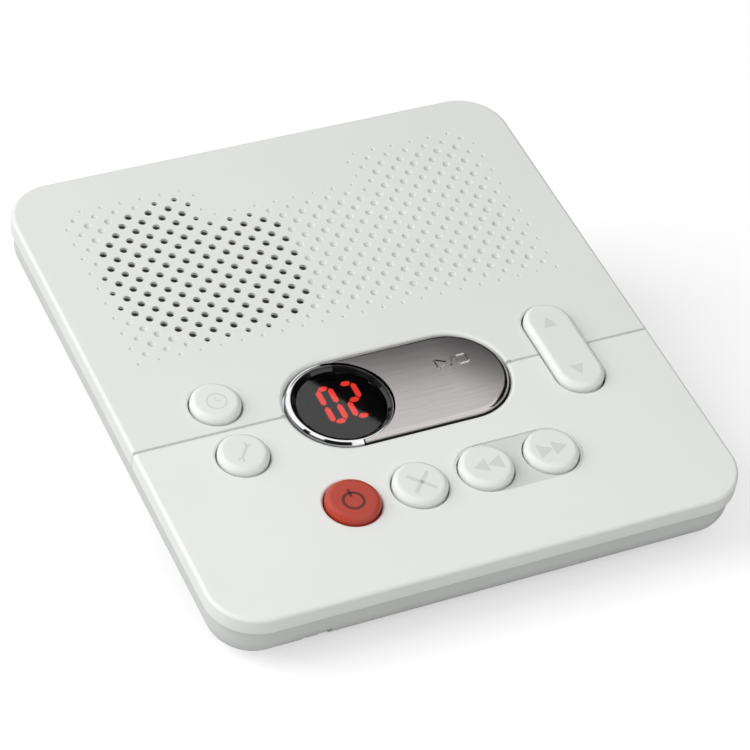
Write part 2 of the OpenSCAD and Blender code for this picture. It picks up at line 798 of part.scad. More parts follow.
// Seven-segment digit; on lists its lit segments: top, upper right, lower right,
// bottom, lower left, upper left, middle
module digit(on) {
    across = digit_w - segment_w;
    up = (digit_h - segment_w) / 2;
    places = [
        [0, up, 0], [across / 2, up / 2, 90], [across / 2, -up / 2, 90], [0, -up, 0],
        [-across / 2, -up / 2, 90], [-across / 2, up / 2, 90], [0, 0, 0]
    ];
    for (k = on) translate([places[k].x, places[k].y]) rotate(places[k].z)
        bar(places[k].z == 0 ? across : up);
}

module led_segments() {
    color("#F0503A") slab() translate([digits_at.x, digits_at.y, led_z])
        linear_extrude(segment_t) {
            translate([-digit_pitch / 2, 0]) digit([0, 1, 2, 3, 4, 5]);
            translate([digit_pitch / 2, 0]) digit([0, 1, 6, 4, 3]);
        }
}

// ---------------------------------------------------------------- speaker

module at_speaker(z) {
    slab() translate([speaker_x, speaker_y, z]) children();
}

module speaker_gasket() {
    color(foam) at_speaker(speaker_flange_z) difference() {
        cylinder(r = speaker_r, h = gasket_t, $fn = 96);
        translate([0, 0, -1]) cylinder(r = speaker_r - 1.6, h = gasket_t + 2, $fn = 96);
    }
}

// Pressed steel basket: flange, sloping wall with four windows, and back plate
basket_mouth_r = speaker_r - 4.4;
module speaker_frame() {
    color(steel) at_speaker(speaker_back_z) difference() {
        rotate_extrude($fn = 96) polygon([
            [speaker_r, speaker_flange_t], [speaker_r, 0], [speaker_r - 3.2, 0],
            [basket_r, -basket_h], [3.2, -basket_h], [3.2, -basket_h + basket_t],
            [basket_r - 0.8, -basket_h + basket_t], [basket_mouth_r, -0.3],
            [basket_mouth_r, speaker_flange_t]
        ]);
        for (turn = [45 : 90 : 315]) rotate([0, 0, turn])
            translate([(basket_r + speaker_r) / 2 - 1.4, 0, -basket_h / 2])
                cube([4.4, 12, basket_h - 3], center = true);
    }
    // Two solder tags at the front
    color(steel) at_speaker(basket_z) for (x = [-1.5, 1.5])
        translate([x - 0.8, -basket_r - tag_out, 0]) cube([1.6, tag_out + 1, basket_t]);
}

// Paper cone with a rolled surround and a dust cap, as one half section
cone_z = 0.4;
roll_r = 1.5;
roll_t = 0.5;
cone_t = 0.6;
cone_neck_r = 2.6;
cap_r = 6;
cap_top = 2.2;
module speaker_cone() {
    surround_r = basket_mouth_r - 0.3;
    cone_r = surround_r - 2 * roll_r;
    neck_z = -basket_h + basket_t + 1.4;
    // Height of the cone's face at a distance from the axis
    function face(r) = cone_z + (cone_r - r) * (neck_z - cone_z) / (cone_r - cone_neck_r);
    color("#55575A") at_speaker(speaker_back_z) rotate_extrude($fn = 96) {
        difference() {
            translate([surround_r - roll_r, cone_z]) circle(roll_r);
            translate([surround_r - roll_r, cone_z]) circle(roll_r - roll_t);
            translate([cone_r - roll_r, cone_z - 2 * roll_r]) square([4 * roll_r, 2 * roll_r]);
        }
        polygon([
            [cone_r + roll_t, cone_z], [cone_r, cone_z], [cap_r, face(cap_r)],
            [0, face(cap_r) + cap_top], [0, face(cap_r) + cap_top - cone_t],
            [cap_r - cone_t, face(cap_r) - cone_t / 2], [cone_neck_r, neck_z - cone_t / 2],
            [cone_neck_r, neck_z - cone_t], [cone_neck_r + 1, neck_z - cone_t]
        ]);
    }
}

module speaker_magnet() {
    color("#3C3E40") at_speaker(basket_z - magnet_t) {
        cylinder(d = magnet_d, h = magnet_t, $fn = 64);
    }
}

module speaker_clamps() {
    color(steel) at_speaker(speaker_back_z - clamp_t) for (turn = clamp_angles)
        rotate([0, 0, turn]) translate([clamp_reach + clamp_w / 2 - clamp_l, 0, 0]) difference() {
            translate([0, -clamp_w / 2, 0]) cube([clamp_l, clamp_w, clamp_t]);
            translate([clamp_l - clamp_w / 2, 0, -1])
                cylinder(r = small_screw_r + 0.2, h = clamp_t + 2);
        }
}

module speaker_screws() {
    color(steel) at_speaker(speaker_back_z - clamp_t) for (turn = clamp_angles)
        rotate([0, 0, turn]) translate([clamp_reach, 0, 0])
            screw(small_screw_r, clamp_t + 2.4, small_head_r, small_head_t);
}

// Leads from the tags at the basket's front, bent down to the main board
lead_d = 1.2;
lead_bend = 3;
tag_out = 1.5;
tag_end = speaker_y - basket_r - tag_out - 0.15;
lead_from = [world_y(tag_end, basket_z + basket_t / 2), world_z(tag_end, basket_z + basket_t / 2)];
module speaker_leads() {
    color(red) for (x = [-1.5, 1.5]) translate([speaker_x + x, lead_from.x, lead_from.y]) {
        rotate([90, 0, 0]) cylinder(d = lead_d, h = 1);
        translate([0, -1, -lead_bend]) rotate([90, 0, -90])
            rotate_extrude(angle = 90) translate([lead_bend, 0]) circle(d = lead_d);
        translate([0, -1 - lead_bend, parts_z - lead_from.y])
            cylinder(d = lead_d, h = lead_from.y - lead_bend - parts_z);
    }
}

// ---------------------------------------------------------------- key board

module key_board() {
    color(green) slab() difference() {
        translate([-key_board_w / 2, key_board_front, board_z - board_t])
            cube([key_board_w, key_board_rear - key_board_front, board_t]);
        for (at = key_screws) translate([at.x, at.y, board_z - board_t - 1])
            cylinder(r = small_screw_r + 0.2, h = board_t + 2);
    }
}

module key_board_screws() {
    color(steel) slab() for (at = key_screws) translate([at.x, at.y, board_z - board_t])
        screw(small_screw_r, board_t + 4, small_head_r, small_head_t);
}

sprung_places = concat(
    [clock_at, setup_at], [for (i = [0 : 3]) front_key_at(i)],
    [for (x = play_switch_x) [x, seam_y]]
);
volume_places = [for (side = [-1, 1]) [rocker_x, seam_y + side * rocker_foot_y]];

module switch_bodies() {
    color(black) slab() for (at = concat(sprung_places, volume_places))
        translate([at.x, at.y, board_z]) difference() {
            translate([0, 0, switch_h / 2]) cube([switch_a, switch_a, switch_h], center = true);
            translate([0, 0, switch_h - plunger_depth - key_travel - 0.3])
                cylinder(r = plunger_d / 2 + plunger_clear, h = switch_h);
        }
}

module plunger_at(at) {
    slab() translate([at.x, at.y, switch_z - plunger_depth])
        cylinder(d = plunger_d, h = plunger_depth + plunger_rise);
}

module volume_up_plunger() { color(black) plunger_at(volume_places[1]); }
module volume_down_plunger() { color(black) plunger_at(volume_places[0]); }

module rocker_pin() {
    color(steel) slab() translate([rocker_x, seam_y, -pivot_depth]) rotate([0, 90, 0])
        cylinder(d = pin_d, h = 2 * (ear_x + ear_t), center = true);
}

// ---------------------------------------------------------------- keys

// Round cap: hollow shell with a flange under the top plate and a stem to its switch
module round_key(at, opening_r, tint) {
    r = opening_r - key_gap;
    height = key_rise - flange_z;
    color(tint) slab() translate([at.x, at.y, 0]) difference() {
        union() {
            rotate_extrude($fn = 64) intersection() {
                translate([0, key_rise]) edge_section(r, height + flange_t, key_edge_r);
                translate([0, flange_z - flange_t]) square([r, 2 * height]);
            }
            translate([0, 0, flange_z - flange_t])
                cylinder(r = opening_r + flange_lip, h = flange_t);
            translate([0, 0, plunger_z]) cylinder(r = stem_r, h = key_rise - plunger_z - 1);
        }
        translate([0, 0, flange_z - flange_t - 1]) difference() {
            cylinder(r = r - cap_wall, h = key_rise - cap_wall - flange_z + flange_t + 1);
            translate([0, 0, -5]) cylinder(r = stem_r, h = 20);
        }
    }
}

module clock_button() { round_key(clock_at, side_r, white); }
module setup_button() { round_key(setup_at, side_r, white); }
module power_button() { round_key(front_key_at(0), front_r, red); }
module delete_button() { round_key(front_key_at(1), front_r, white); }
module repeat_button() { round_key(front_key_at(2), front_r, white); }
module skip_button() { round_key(front_key_at(3), front_r, white); }

module clock_plunger() { color(black) plunger_at(clock_at); }
module setup_plunger() { color(black) plunger_at(setup_at); }
module power_plunger() { color(black) plunger_at(front_key_at(0)); }
module delete_plunger() { color(black) plunger_at(front_key_at(1)); }
module repeat_plunger() { color(black) plunger_at(front_key_at(2)); }
module skip_plunger() { color(black) plunger_at(front_key_at(3)); }
module play_stop_plungers() { color(black) for (x = play_switch_x) plunger_at([x, seam_y]); }

module play_stop_key() {
    low = flange_z - flange_t;
    color(chrome) slab() translate([oval_x, seam_y, 0]) difference() {
        union() {
            translate([0, 0, oval_rise]) rotate([0, 0, 90])
                edged_stadium(oval_reach, oval_key_r, oval_rise - low, oval_edge_r);
            stadium(oval_reach, oval_r + flange_lip, low, flange_z, true);
            play_stop_stems(plunger_z);
        }
        // Hollow, with a wall beside the display and the stems left standing
        difference() {
            stadium(oval_reach, oval_key_r - cap_wall, low - 1, oval_rise - cap_wall, true);
            translate([-oval_reach, 0, low - 2])
                cylinder(r = crest_r + key_split + cap_wall, h = slab_h, $fn = 96);
            play_stop_stems(low - 2);
        }
        // The display's ring and the skirt on its left stay clear
        translate([-oval_reach, 0, low - 1])
            cylinder(r = crest_r + key_split, h = oval_rise - low + 2, $fn = 96);
        translate([-oval_reach - oval_w + key_split, -oval_h, low - 1])
            cube([oval_w, 2 * oval_h, oval_rise - low + 2]);
    }
}

// Stems from the oval key down to its two switches
module play_stop_stems(low) {
    for (x = play_switch_x) translate([x - oval_x, 0, low])
        cylinder(r = stem_r, h = oval_rise - 1 - low);
}

module volume_rocker() {
    low = ceiling_z - 0.6;
    reach = rocker_reach - (rocker_end_gap - key_gap);
    r = rocker_w / 2 - key_gap;
    lug_w = 5;
    color(white) slab() translate([rocker_x, seam_y, 0]) difference() {
        union() {
            difference() {
                translate([0, 0, key_rise]) edged_stadium(reach, r, key_rise - low, key_edge_r);
                stadium(reach, r - cap_wall, low - 1, key_rise - cap_wall);
            }
            translate([-lug_w / 2, -pin_d / 2 - 1.4, -pivot_depth])
                cube([lug_w, pin_d + 2.8, pivot_depth + key_rise - 1]);
            translate([0, 0, -pivot_depth]) rotate([0, 90, 0])
                cylinder(d = pin_d + 2.8, h = lug_w, center = true);
            for (side = [-1, 1])
                translate([0, side * rocker_foot_y, plunger_z + rocker_foot_gap])
                    cylinder(r = stem_r, h = key_rise - plunger_z - rocker_foot_gap - 1);
        }
        translate([0, 0, -pivot_depth]) rotate([0, 90, 0])
            cylinder(d = pin_d + 0.12, h = rocker_w, center = true);
    }
}

// ---------------------------------------------------------------- main board

module main_board() {
    color(green) difference() {
        translate([0, (main_front + main_rear) / 2, main_z]) linear_extrude(board_t)
            rounded_rect(main_board_w, main_board_l, 2);
        for (at = main_screws) translate([at.x, at.y, main_z - 1])
            cylinder(r = small_screw_r + 0.2, h = board_t + 2);
    }
}

module main_board_screws() {
    color(steel) for (at = main_screws) translate([at.x, at.y, parts_z]) mirror([0, 0, 1])
        screw(small_screw_r, board_t + 3.6, small_head_r, small_head_t);
}

// Telephone socket: plug space with a latch slot under it
plug_low = (jack_h - plug_h - latch_h) / 2 + latch_h;
module phone_jack(x) {
    color(black) translate([x, socket_face, parts_z]) difference() {
        translate([-jack_w / 2, -jack_l, 0]) cube([jack_w, jack_l, jack_h]);
        translate([-plug_w / 2, -plug_depth, plug_low]) cube([plug_w, plug_depth + 1, plug_h]);
        translate([-latch_w / 2, -plug_depth, plug_low - latch_h])
            cube([latch_w, plug_depth + 1, latch_h + 1]);
    }
}
module line_socket() { phone_jack(line_x); }
module telephone_socket() { phone_jack(phone_x); }

// Four sprung wires slope down through the rear of each plug space
contact_t = 0.4;
contact_run = 2.6;
contact_drop = 3;
contact_pitch = 1.02;
module socket_contacts() {
    color("#C9A64B") for (x = [line_x, phone_x], k = [-1.5 : 1 : 1.5])
        translate([x + k * contact_pitch - contact_t / 2, socket_face - plug_depth, parts_z + plug_low])
            rotate([90, 0, 90]) linear_extrude(contact_t) polygon([
                [0, plug_h], [0, plug_h - contact_t], [contact_run, plug_h - contact_drop],
                [contact_run + contact_t, plug_h - contact_drop], [contact_t, plug_h]
            ]);
}

// Barrel power socket; its bore faces the rear
module power_socket() {
    color(black) difference() {
        translate([power_x - power_w / 2, socket_face - power_l, parts_z])
            cube([power_w, power_l, power_h]);
        translate([power_x, socket_face + 1, power_axis_z]) rotate([90, 0, 0])
            cylinder(d = power_bore_d, h = 10.5);
    }
}

module power_pin() {
    pin_l = 8;
    color(steel) translate([power_x, socket_face - 9.5 + pin_l, power_axis_z]) rotate([90, 0, 0]) {
        cylinder(d = 2, h = pin_l);
        rotate([180, 0, 0]) cylinder(d1 = 2, d2 = 1, h = 0.6);
    }
}

// A component standing on the main board, with its corner place counted from the
// board's front left corner
module on_board(x, y) {
    translate([-main_board_w / 2 + x, main_front + y, parts_z]) children();
}

// Laminated core on a bobbin, with the winding out at both sides of the core
core = [14, 12, 9];
bobbin_h = 1.5;
winding_out = 1.2;
module line_transformer() {
    color("#4A4038") on_board(62, 16) {
        translate([0, 0, bobbin_h]) cube(core);
        translate([1.5, -1, 0]) cube([core.x - 3, core.y + 2, bobbin_h]);
        translate([2, -winding_out, bobbin_h + 1])
            cube([core.x - 4, core.y + 2 * winding_out, core.z - 2]);
    }
}

relay_size = [10, 15, 8];
module line_relay() {
    color("#E8E8E4") on_board(44, 14) cube(relay_size);
}

// Each capacitor's place on the board, radius and height; a vent line crosses its top
capacitor_list = [[8, 16, 3.2, 9], [20, 17, 3.2, 9], [8, 26, 2.5, 7], [60, 6, 2.5, 7]];
vent_w = 0.4;
vent_depth = 0.5;
module capacitors() {
    color("#27324A") for (c = capacitor_list) on_board(c[0], c[1]) difference() {
        cylinder(r = c[2], h = c[3]);
        translate([0, 0, c[3]]) cube([2 * c[2], vent_w, 2 * vent_depth], center = true);
    }
}

chip_pitch = 1.27;
chip_stand = 0.3;
chip_t = 1.5;
chip_lead = [1, 0.4, 0.5];
module chip(w, l) {
    translate([0, 0, chip_stand]) cube([w, l, chip_t]);
    count = floor(l / chip_pitch);
    for (x = [-chip_lead.x, w], k = [0 : count - 1])
        translate([x, (k + 0.5) * l / count - chip_lead.y / 2, 0]) cube(chip_lead);
}
module processor_chip() { color(black) on_board(26, 28) chip(13, 14); }
module memory_chip() { color(black) on_board(26, 14) chip(8, 10); }

crystal_r = 2;
crystal_l = 7;
crystal_h = 3.4;
module crystal() {
    color(steel) on_board(44, 33) linear_extrude(crystal_h) {
        for (x = [0, crystal_l]) translate([x, 0]) circle(crystal_r);
        translate([0, -crystal_r]) square([crystal_l, 2 * crystal_r]);
    }
}

module regulator() {
    color(black) on_board(76, 30) {
        translate([0, 0, 1]) cube([6, 4, 8]);
        translate([0.5, 4, 1]) cube([5, 0.8, 10]);
        for (x = [0.6, 2.7, 4.8]) translate([x, 1.6, 0]) cube([0.6, 0.6, 1]);
    }
}

// Flat cable between the boards: one strip, mitred where it bends
ribbon_t = 0.7;
ribbon_w = 16;
ribbon_x = 20;
ribbon_top_y = -8;
ribbon_run = 4;
ribbon_top = [
    world_y(ribbon_top_y, board_z - board_t), world_z(ribbon_top_y, board_z - board_t)
];
ribbon_path = [
    ribbon_top, ribbon_top + ribbon_run * [sin(tilt), -cos(tilt)],
    [main_front + ribbon_run, parts_z + ribbon_run + 1], [main_front + ribbon_run, parts_z]
];
ribbon_last = len(ribbon_path) - 1;
function square_to(a, b) = [a.y - b.y, b.x - a.x] / norm(b - a);
function ribbon_before(k) = square_to(ribbon_path[max(k, 1) - 1], ribbon_path[max(k, 1)]);
function ribbon_after(k) =
    square_to(ribbon_path[min(k, ribbon_last - 1)], ribbon_path[min(k, ribbon_last - 1) + 1]);
function ribbon_edge(k, side) = ribbon_path[k] + side * ribbon_t / 2
    * (ribbon_before(k) + ribbon_after(k)) / (1 + ribbon_before(k) * ribbon_after(k));
module ribbon_cable() {
    color("#C8C4B8") translate([ribbon_x, 0, 0]) rotate([90, 0, 90]) linear_extrude(ribbon_w)
        polygon(concat(
            [for (k = [0 : ribbon_last]) ribbon_edge(k, 1)],
            [for (k = [ribbon_last : -1 : 0]) ribbon_edge(k, -1)]
        ));
}

module microphone_boot() {
    color(black) slab() translate([notch_x, boot_y, floor_z]) difference() {
        cylinder(r = boot_r, h = boot_h);
        translate([0, 0, boot_h - capsule_h]) cylinder(r = capsule_r, h = capsule_h + 1);
        translate([0, 0, -1]) cylinder(r = 1, h = boot_h + 1);
    }
}

module microphone() {
    color(steel) slab() translate([notch_x, boot_y, floor_z + boot_h - capsule_h]) {
        cylinder(r = capsule_r - 0.05, h = capsule_h);
        for (x = [-1, 1]) translate([x, 0, capsule_h]) cylinder(r = 0.3, h = 0.8);
    }
}

upper_housing();
lower_housing();
housing_screws();
rubber_feet();
display_bezel();
display_lens();
led_display();
led_segments();
speaker_gasket();
speaker_frame();
speaker_cone();
speaker_magnet();
speaker_clamps();
speaker_screws();
speaker_leads();
key_board();
key_board_screws();
switch_bodies();
volume_up_plunger();
volume_down_plunger();
rocker_pin();
main_board();
main_board_screws();
line_socket();
telephone_socket();
socket_contacts();
power_socket();
power_pin();
line_transformer();
line_relay();
capacitors();
processor_chip();
memory_chip();
crystal();
regulator();
ribbon_cable();
microphone();
microphone_boot();
clock_button();
clock_plunger();
setup_button();
setup_plunger();
power_button();
power_plunger();
delete_button();
delete_plunger();
repeat_button();
repeat_plunger();
skip_button();
skip_plunger();
play_stop_key();
play_stop_plungers();
volume_rocker();
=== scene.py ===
"""Looks of a desk telephone answering machine, built around its packed construction.

The machine is a sloping slab on a wedge-shaped foot. Its top face carries a speaker grille,
six round keys, a volume rocker and an oval opening that a lit message counter and a
metallised play and stop key share. Sizes are millimetres in the slab's own frame (x right,
y to the rear, z out of the top face) and are turned into the row's metres by SlabFrame.
"""

from __future__ import annotations

import json
import logging
import math
from collections.abc import Callable, Iterable, Sequence
from dataclasses import dataclass, field
from enum import Enum

import bpy
import numpy as np
from mathutils import Matrix, Vector


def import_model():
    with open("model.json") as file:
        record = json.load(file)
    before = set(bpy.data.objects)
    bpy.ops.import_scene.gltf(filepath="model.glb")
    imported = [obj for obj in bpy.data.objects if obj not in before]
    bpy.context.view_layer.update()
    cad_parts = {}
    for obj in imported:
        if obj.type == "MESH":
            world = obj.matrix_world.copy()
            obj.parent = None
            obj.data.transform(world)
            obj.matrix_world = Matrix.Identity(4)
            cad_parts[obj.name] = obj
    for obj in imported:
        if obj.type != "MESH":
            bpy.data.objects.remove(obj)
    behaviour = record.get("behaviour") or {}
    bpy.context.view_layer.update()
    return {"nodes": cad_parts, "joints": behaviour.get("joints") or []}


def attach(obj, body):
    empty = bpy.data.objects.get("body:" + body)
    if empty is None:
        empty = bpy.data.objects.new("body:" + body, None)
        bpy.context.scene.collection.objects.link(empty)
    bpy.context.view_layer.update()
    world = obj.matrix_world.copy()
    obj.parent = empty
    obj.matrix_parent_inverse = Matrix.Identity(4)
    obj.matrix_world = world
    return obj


LOG = logging.getLogger("answering_machine")
MM = 0.001
WHITE = (1.0, 1.0, 1.0, 1.0)
NO_COLOUR = (0.0, 0.0, 0.0, 1.0)
# Painted on the ring's inner slope, a painted dark reflection, and on the play key's flank, a
# painted shade
PAINTED_BLACK = "#101112"
# The part of its 0 to 1 range that Blender's noise mostly fills
NOISE_SPAN = (0.3, 0.7)

# Places and heights that several classes share, in slab millimetres
SEAM_Y = -18.4
KEY_RISE = 1.7
FRONT_ROW_Y = -49.2
RING_AT = (-15.4, SEAM_Y)
ROCKER_PIVOT = (45.9, SEAM_Y, -4.2)

Spot = tuple[float, float]
Place = tuple[float, float, float]
Part = tuple[np.ndarray, list[tuple[int, ...]]]


# ------------------------------------------------------------------ shared geometry


@dataclass(frozen=True)
class SlabFrame:
    """The tilted frame of the slab's top face.

    Attributes:
        origin: The middle of the top face, in the row's frame, in metres.
        tilt: Slope of the top face, in radians.
    """

    origin: np.ndarray
    tilt: float

    @classmethod
    def from_joints(cls, joints: Sequence[dict], pivot: Place) -> SlabFrame:
        """Works the frame out from the rocker's pivot and a key's direction of travel.

        Args:
            joints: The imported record's joints.
            pivot: The pivot's place in the slab's frame, in millimetres.

        Returns:
            The slab's frame.
        """
        by_name = {joint["name"]: joint for joint in joints}
        press = by_name["clock_press"]["axis"]
        tilt = math.atan2(press[1], -press[2])
        offset = cls._turn(tilt) @ (np.array(pivot) * MM)
        return cls(np.array(by_name["volume_rock"]["pos_m"]) - offset, tilt)

    @staticmethod
    def _turn(tilt: float) -> np.ndarray:
        """Rotation about X by tilt, as a 3 by 3 array."""
        c, s = math.cos(tilt), math.sin(tilt)
        return np.array([[1, 0, 0], [0, c, -s], [0, s, c]])

    @property
    def turn(self) -> np.ndarray:
        """Rotation from the slab's frame to the row's."""
        return self._turn(self.tilt)

    @property
    def normal(self) -> np.ndarray:
        """The top face's outward normal in the row's frame."""
        return self.turn[:, 2]

    def place(self, points: np.ndarray) -> np.ndarray:
        """Slab points in millimetres as row points in metres."""
        return np.asarray(points, float) * MM @ self.turn.T + self.origin


def grid_faces(rings: int, around: int) -> list[tuple[int, ...]]:
    """Quads between neighbouring rings of a grid whose second parameter closes on itself.

    Args:
        rings: How many rings the grid has.
        around: How many points each ring has.

    Returns:
        Corner indices, wound so that rings that rise while turning anticlockwise face outwards.
    """
    i, j = np.meshgrid(np.arange(rings - 1), np.arange(around), indexing="ij")
    a = i * around + j
    b = i * around + (j + 1) % around
    quads = np.stack([a, b, b + around, a + around], axis=-1).reshape(-1, 4)
    return [tuple(q) for q in quads.tolist()]


def new_piece(name: str, points: np.ndarray, faces: Sequence[Sequence[int]]) -> bpy.types.Object:
    """A flat-shaded mesh object at the origin.

    Args:
        name: The piece's name.
        points: Row points in metres.
        faces: Corner indices of each face.

    Returns:
        The new object, linked to the scene.
    """
    mesh = bpy.data.meshes.new(name)
    mesh.from_pydata(points.tolist(), [], [tuple(f) for f in faces])
    mesh.update()
    piece = bpy.data.objects.new(name, mesh)
    bpy.context.scene.collection.objects.link(piece)
    return piece


def joined(name: str, parts: Sequence[Part], frame: SlabFrame) -> bpy.types.Object:
    """One piece from several closed parts.

    Args:
        name: The piece's name.
        parts: Points in slab millimetres and faces of each part.
        frame: The slab's frame.

    Returns:
        The new object.
    """
    points, faces, start = [], [], 0
    for part_points, part_faces in parts:
        points.append(part_points)
        faces.extend(tuple(i + start for i in f) for f in part_faces)
        start += len(part_points)
    return new_piece(name, frame.place(np.concatenate(points)), faces)


def relief_prism(outline: np.ndarray, low: float, high: float, slope: float) -> Part:
    """A raised mark: its outline rises from low to high and draws in by slope on the way.

    The top ring moves each corner along the bisector of its two sides.

    Args:
        outline: Anticlockwise corners, points by 2.
        low: Height of the bottom.
        high: Height of the top.
        slope: How far the top edge draws in.

    Returns:
        Points and faces.
    """
    ahead = np.roll(outline, -1, axis=0) - outline
    ahead /= np.linalg.norm(ahead, axis=1, keepdims=True)
    behind = np.roll(ahead, 1, axis=0)
    inward = np.stack([-(ahead + behind)[:, 1], (ahead + behind)[:, 0]], axis=1)
    inward /= (1 + np.sum(ahead * behind, axis=1))[:, None]
    count = len(outline)
    points = np.concatenate([
        np.column_stack([outline, np.full(count, low)]),
        np.column_stack([outline + inward * slope, np.full(count, high)]),
    ])
    faces = grid_faces(2, count)
    faces.append(tuple(range(count - 1, -1, -1)))
    faces.append(tuple(range(count, 2 * count)))
    return points, faces


def relief_ring(centre: Sequence[float], radius: float, width: float, low: float, high: float,
                slope: float, count: int = 48) -> Part:
    """A raised ring: a trapezoid section carried round a circle.

    Args:
        centre: The circle's centre, x and y.
        radius: Radius of the ring's middle line.
        width: Width of the ring at its foot.
        low: Height of the foot.
        high: Height of the top.
        slope: How far each side draws in at the top.
        count: Points round the circle.

    Returns:
        Points and faces.
    """
    angle = np.linspace(0, 2 * np.pi, count, endpoint=False)
    half = width / 2
    section = np.array([[half, low], [half - slope, high], [slope - half, high], [-half, low]])
    r, height = radius + section[:, :1], np.repeat(section[:, 1:], count, axis=1)
    points = np.stack(
        [centre[0] + r * np.cos(angle), centre[1] + r * np.sin(angle), height], axis=-1
    ).reshape(-1, 3)
    closed = grid_faces(len(section) + 1, count)
    return points, [tuple(i % len(points) for i in f) for f in closed]


def stroke(start: Sequence[float], end: Sequence[float], width: float) -> np.ndarray:
    """Outline of a straight stroke with square ends, anticlockwise.

    Args:
        start: One end of its middle line.
        end: The other end.
        width: Its width.

    Returns:
        Four corners.
    """
    a, b = np.array(start, float), np.array(end, float)
    along = (b - a) / np.linalg.norm(b - a)
    side = np.array([-along[1], along[0]]) * width / 2
    return np.array([a - side, b - side, b + side, a + side])


def triangle(centre: np.ndarray, way: Spot, length: float, base: float) -> np.ndarray:
    """Outline of a triangle: its tip half a length ahead, its base half a length behind.

    Args:
        centre: The middle between tip and base.
        way: Unit vector from the base to the tip.
        length: Distance from the base to the tip.
        base: Length of the base.

    Returns:
        Three corners, anticlockwise.
    """
    ahead = np.array(way, float) * length / 2
    side = np.array([-way[1], way[0]]) * base / 2
    return np.array([centre + ahead, centre - ahead + side, centre - ahead - side])


# ------------------------------------------------------------------ materials


def linear(hex_colour: str) -> tuple[float, float, float, float]:
    """An sRGB hex colour as Blender's linear values, by the sRGB standard's curve.

    Args:
        hex_colour: The colour, as #RRGGBB.

    Returns:
        Red, green, blue and a full alpha.
    """
    channels = [int(hex_colour[i:i + 2], 16) / 255 for i in (1, 3, 5)]
    r, g, b = (c / 12.92 if c <= 0.04045 else ((c + 0.055) / 1.055) ** 2.4 for c in channels)
    return r, g, b, 1.0


class Tree:
    """The nodes of a material or of the world, with one way of adding them."""

    def __init__(self, owner: bpy.types.Material | bpy.types.World,
                 shader: str = "BSDF_PRINCIPLED") -> None:
        """Starts from the shader that the owner comes with.

        Args:
            owner: The new material or world.
            shader: The type of its shader.
        """
        owner.use_nodes = True
        self.owner = owner
        self.nodes = owner.node_tree.nodes
        self.links = owner.node_tree.links
        self.shader = next(node for node in self.nodes if node.type == shader)

    def add(self, kind: str, output: str, settings: dict[str, object] | None = None,
            **inputs: object) -> bpy.types.NodeSocket:
        """Adds a node with its settings and links.

        Args:
            kind: Blender's node type.
            output: Identifier of the output to return.
            settings: Properties of the node.
            inputs: Values, or sockets to link, by the inputs' identifiers with underscores
                for spaces.

        Returns:
            The output.
        """
        node = self.nodes.new(kind)
        for key, value in (settings or {}).items():
            setattr(node, key, value)
        sockets = {socket.identifier.replace(" ", "_"): socket for socket in node.inputs}
        for key, value in inputs.items():
            if isinstance(value, bpy.types.NodeSocket):
                self.links.new(value, sockets[key])
            else:
                sockets[key].default_value = value
        return next(socket for socket in node.outputs if socket.identifier == output)

    def link(self, output: bpy.types.NodeSocket, socket: str) -> None:
        """Links an output to one of the shader's sockets."""
        self.links.new(output, self.shader.inputs[socket])

    def set(self, **values: object) -> None:
        """Sets the shader's own sockets, by name with underscores for spaces."""
        for key, value in values.items():
            self.shader.inputs[key.replace("_", " ")].default_value = value

    def along(self, frame: SlabFrame, axis: int, start: float) -> bpy.types.NodeSocket:
        """The slab coordinate along an axis: the point's share of it less the start's.

        Args:
            frame: The slab's frame.
            axis: 0, 1 or 2 for x, y or z.
            start: Where to count from, in slab millimetres.

        Returns:
            The coordinate, in metres.
        """
        way = frame.turn[:, axis]
        reach = self.add("ShaderNodeVectorMath", "Value", {"operation": "DOT_PRODUCT"},
                         Vector=self.add("ShaderNodeTexCoord", "Object"), Vector_001=tuple(way))
        return self.add("ShaderNodeMath", "Value", {"operation": "SUBTRACT"}, Value=reach,
                        Value_001=float(way @ frame.origin) + start * MM)

    def noise(self, per_mm: float, detail: float, stretch: Place = (1.0, 1.0, 1.0),
              turn: Place = (0.0, 0.0, 0.0)) -> bpy.types.NodeSocket:
        """Noise with the given number of features in a millimetre.

        Args:
            per_mm: Features in a millimetre.
            detail: Octaves.
            stretch: Scale along each axis of the turned coordinates.
            turn: Rotation of the coordinates, in radians.

        Returns:
            The noise's value, from 0 to 1.
        """
        turned = self.add("ShaderNodeMapping", "Vector", Rotation=turn, Scale=stretch,
                          Vector=self.add("ShaderNodeTexCoord", "Object"))
        return self.add("ShaderNodeTexNoise", "Fac", Vector=turned, Scale=per_mm / MM,
                        Detail=detail)

    def shaded(self, colour: str, amount: float,
               value: bpy.types.NodeSocket) -> bpy.types.NodeSocket:
        """A colour that a value darkens and lightens by a share of it.

        Args:
            colour: The colour, as sRGB hex.
            amount: The share by which it changes to each side.
            value: What changes it, from 0 to 1.

        Returns:
            The changed colour.
        """
        base = linear(colour)
        shade = self.add("ShaderNodeValToRGB", "Color", Fac=value)
        for element, position, gain in zip(
            shade.node.color_ramp.elements, NOISE_SPAN, (1 - amount, 1 + amount)
        ):
            element.position = position
            element.color = tuple(min(1.0, c * gain) for c in base[:3]) + (1.0,)
        return shade


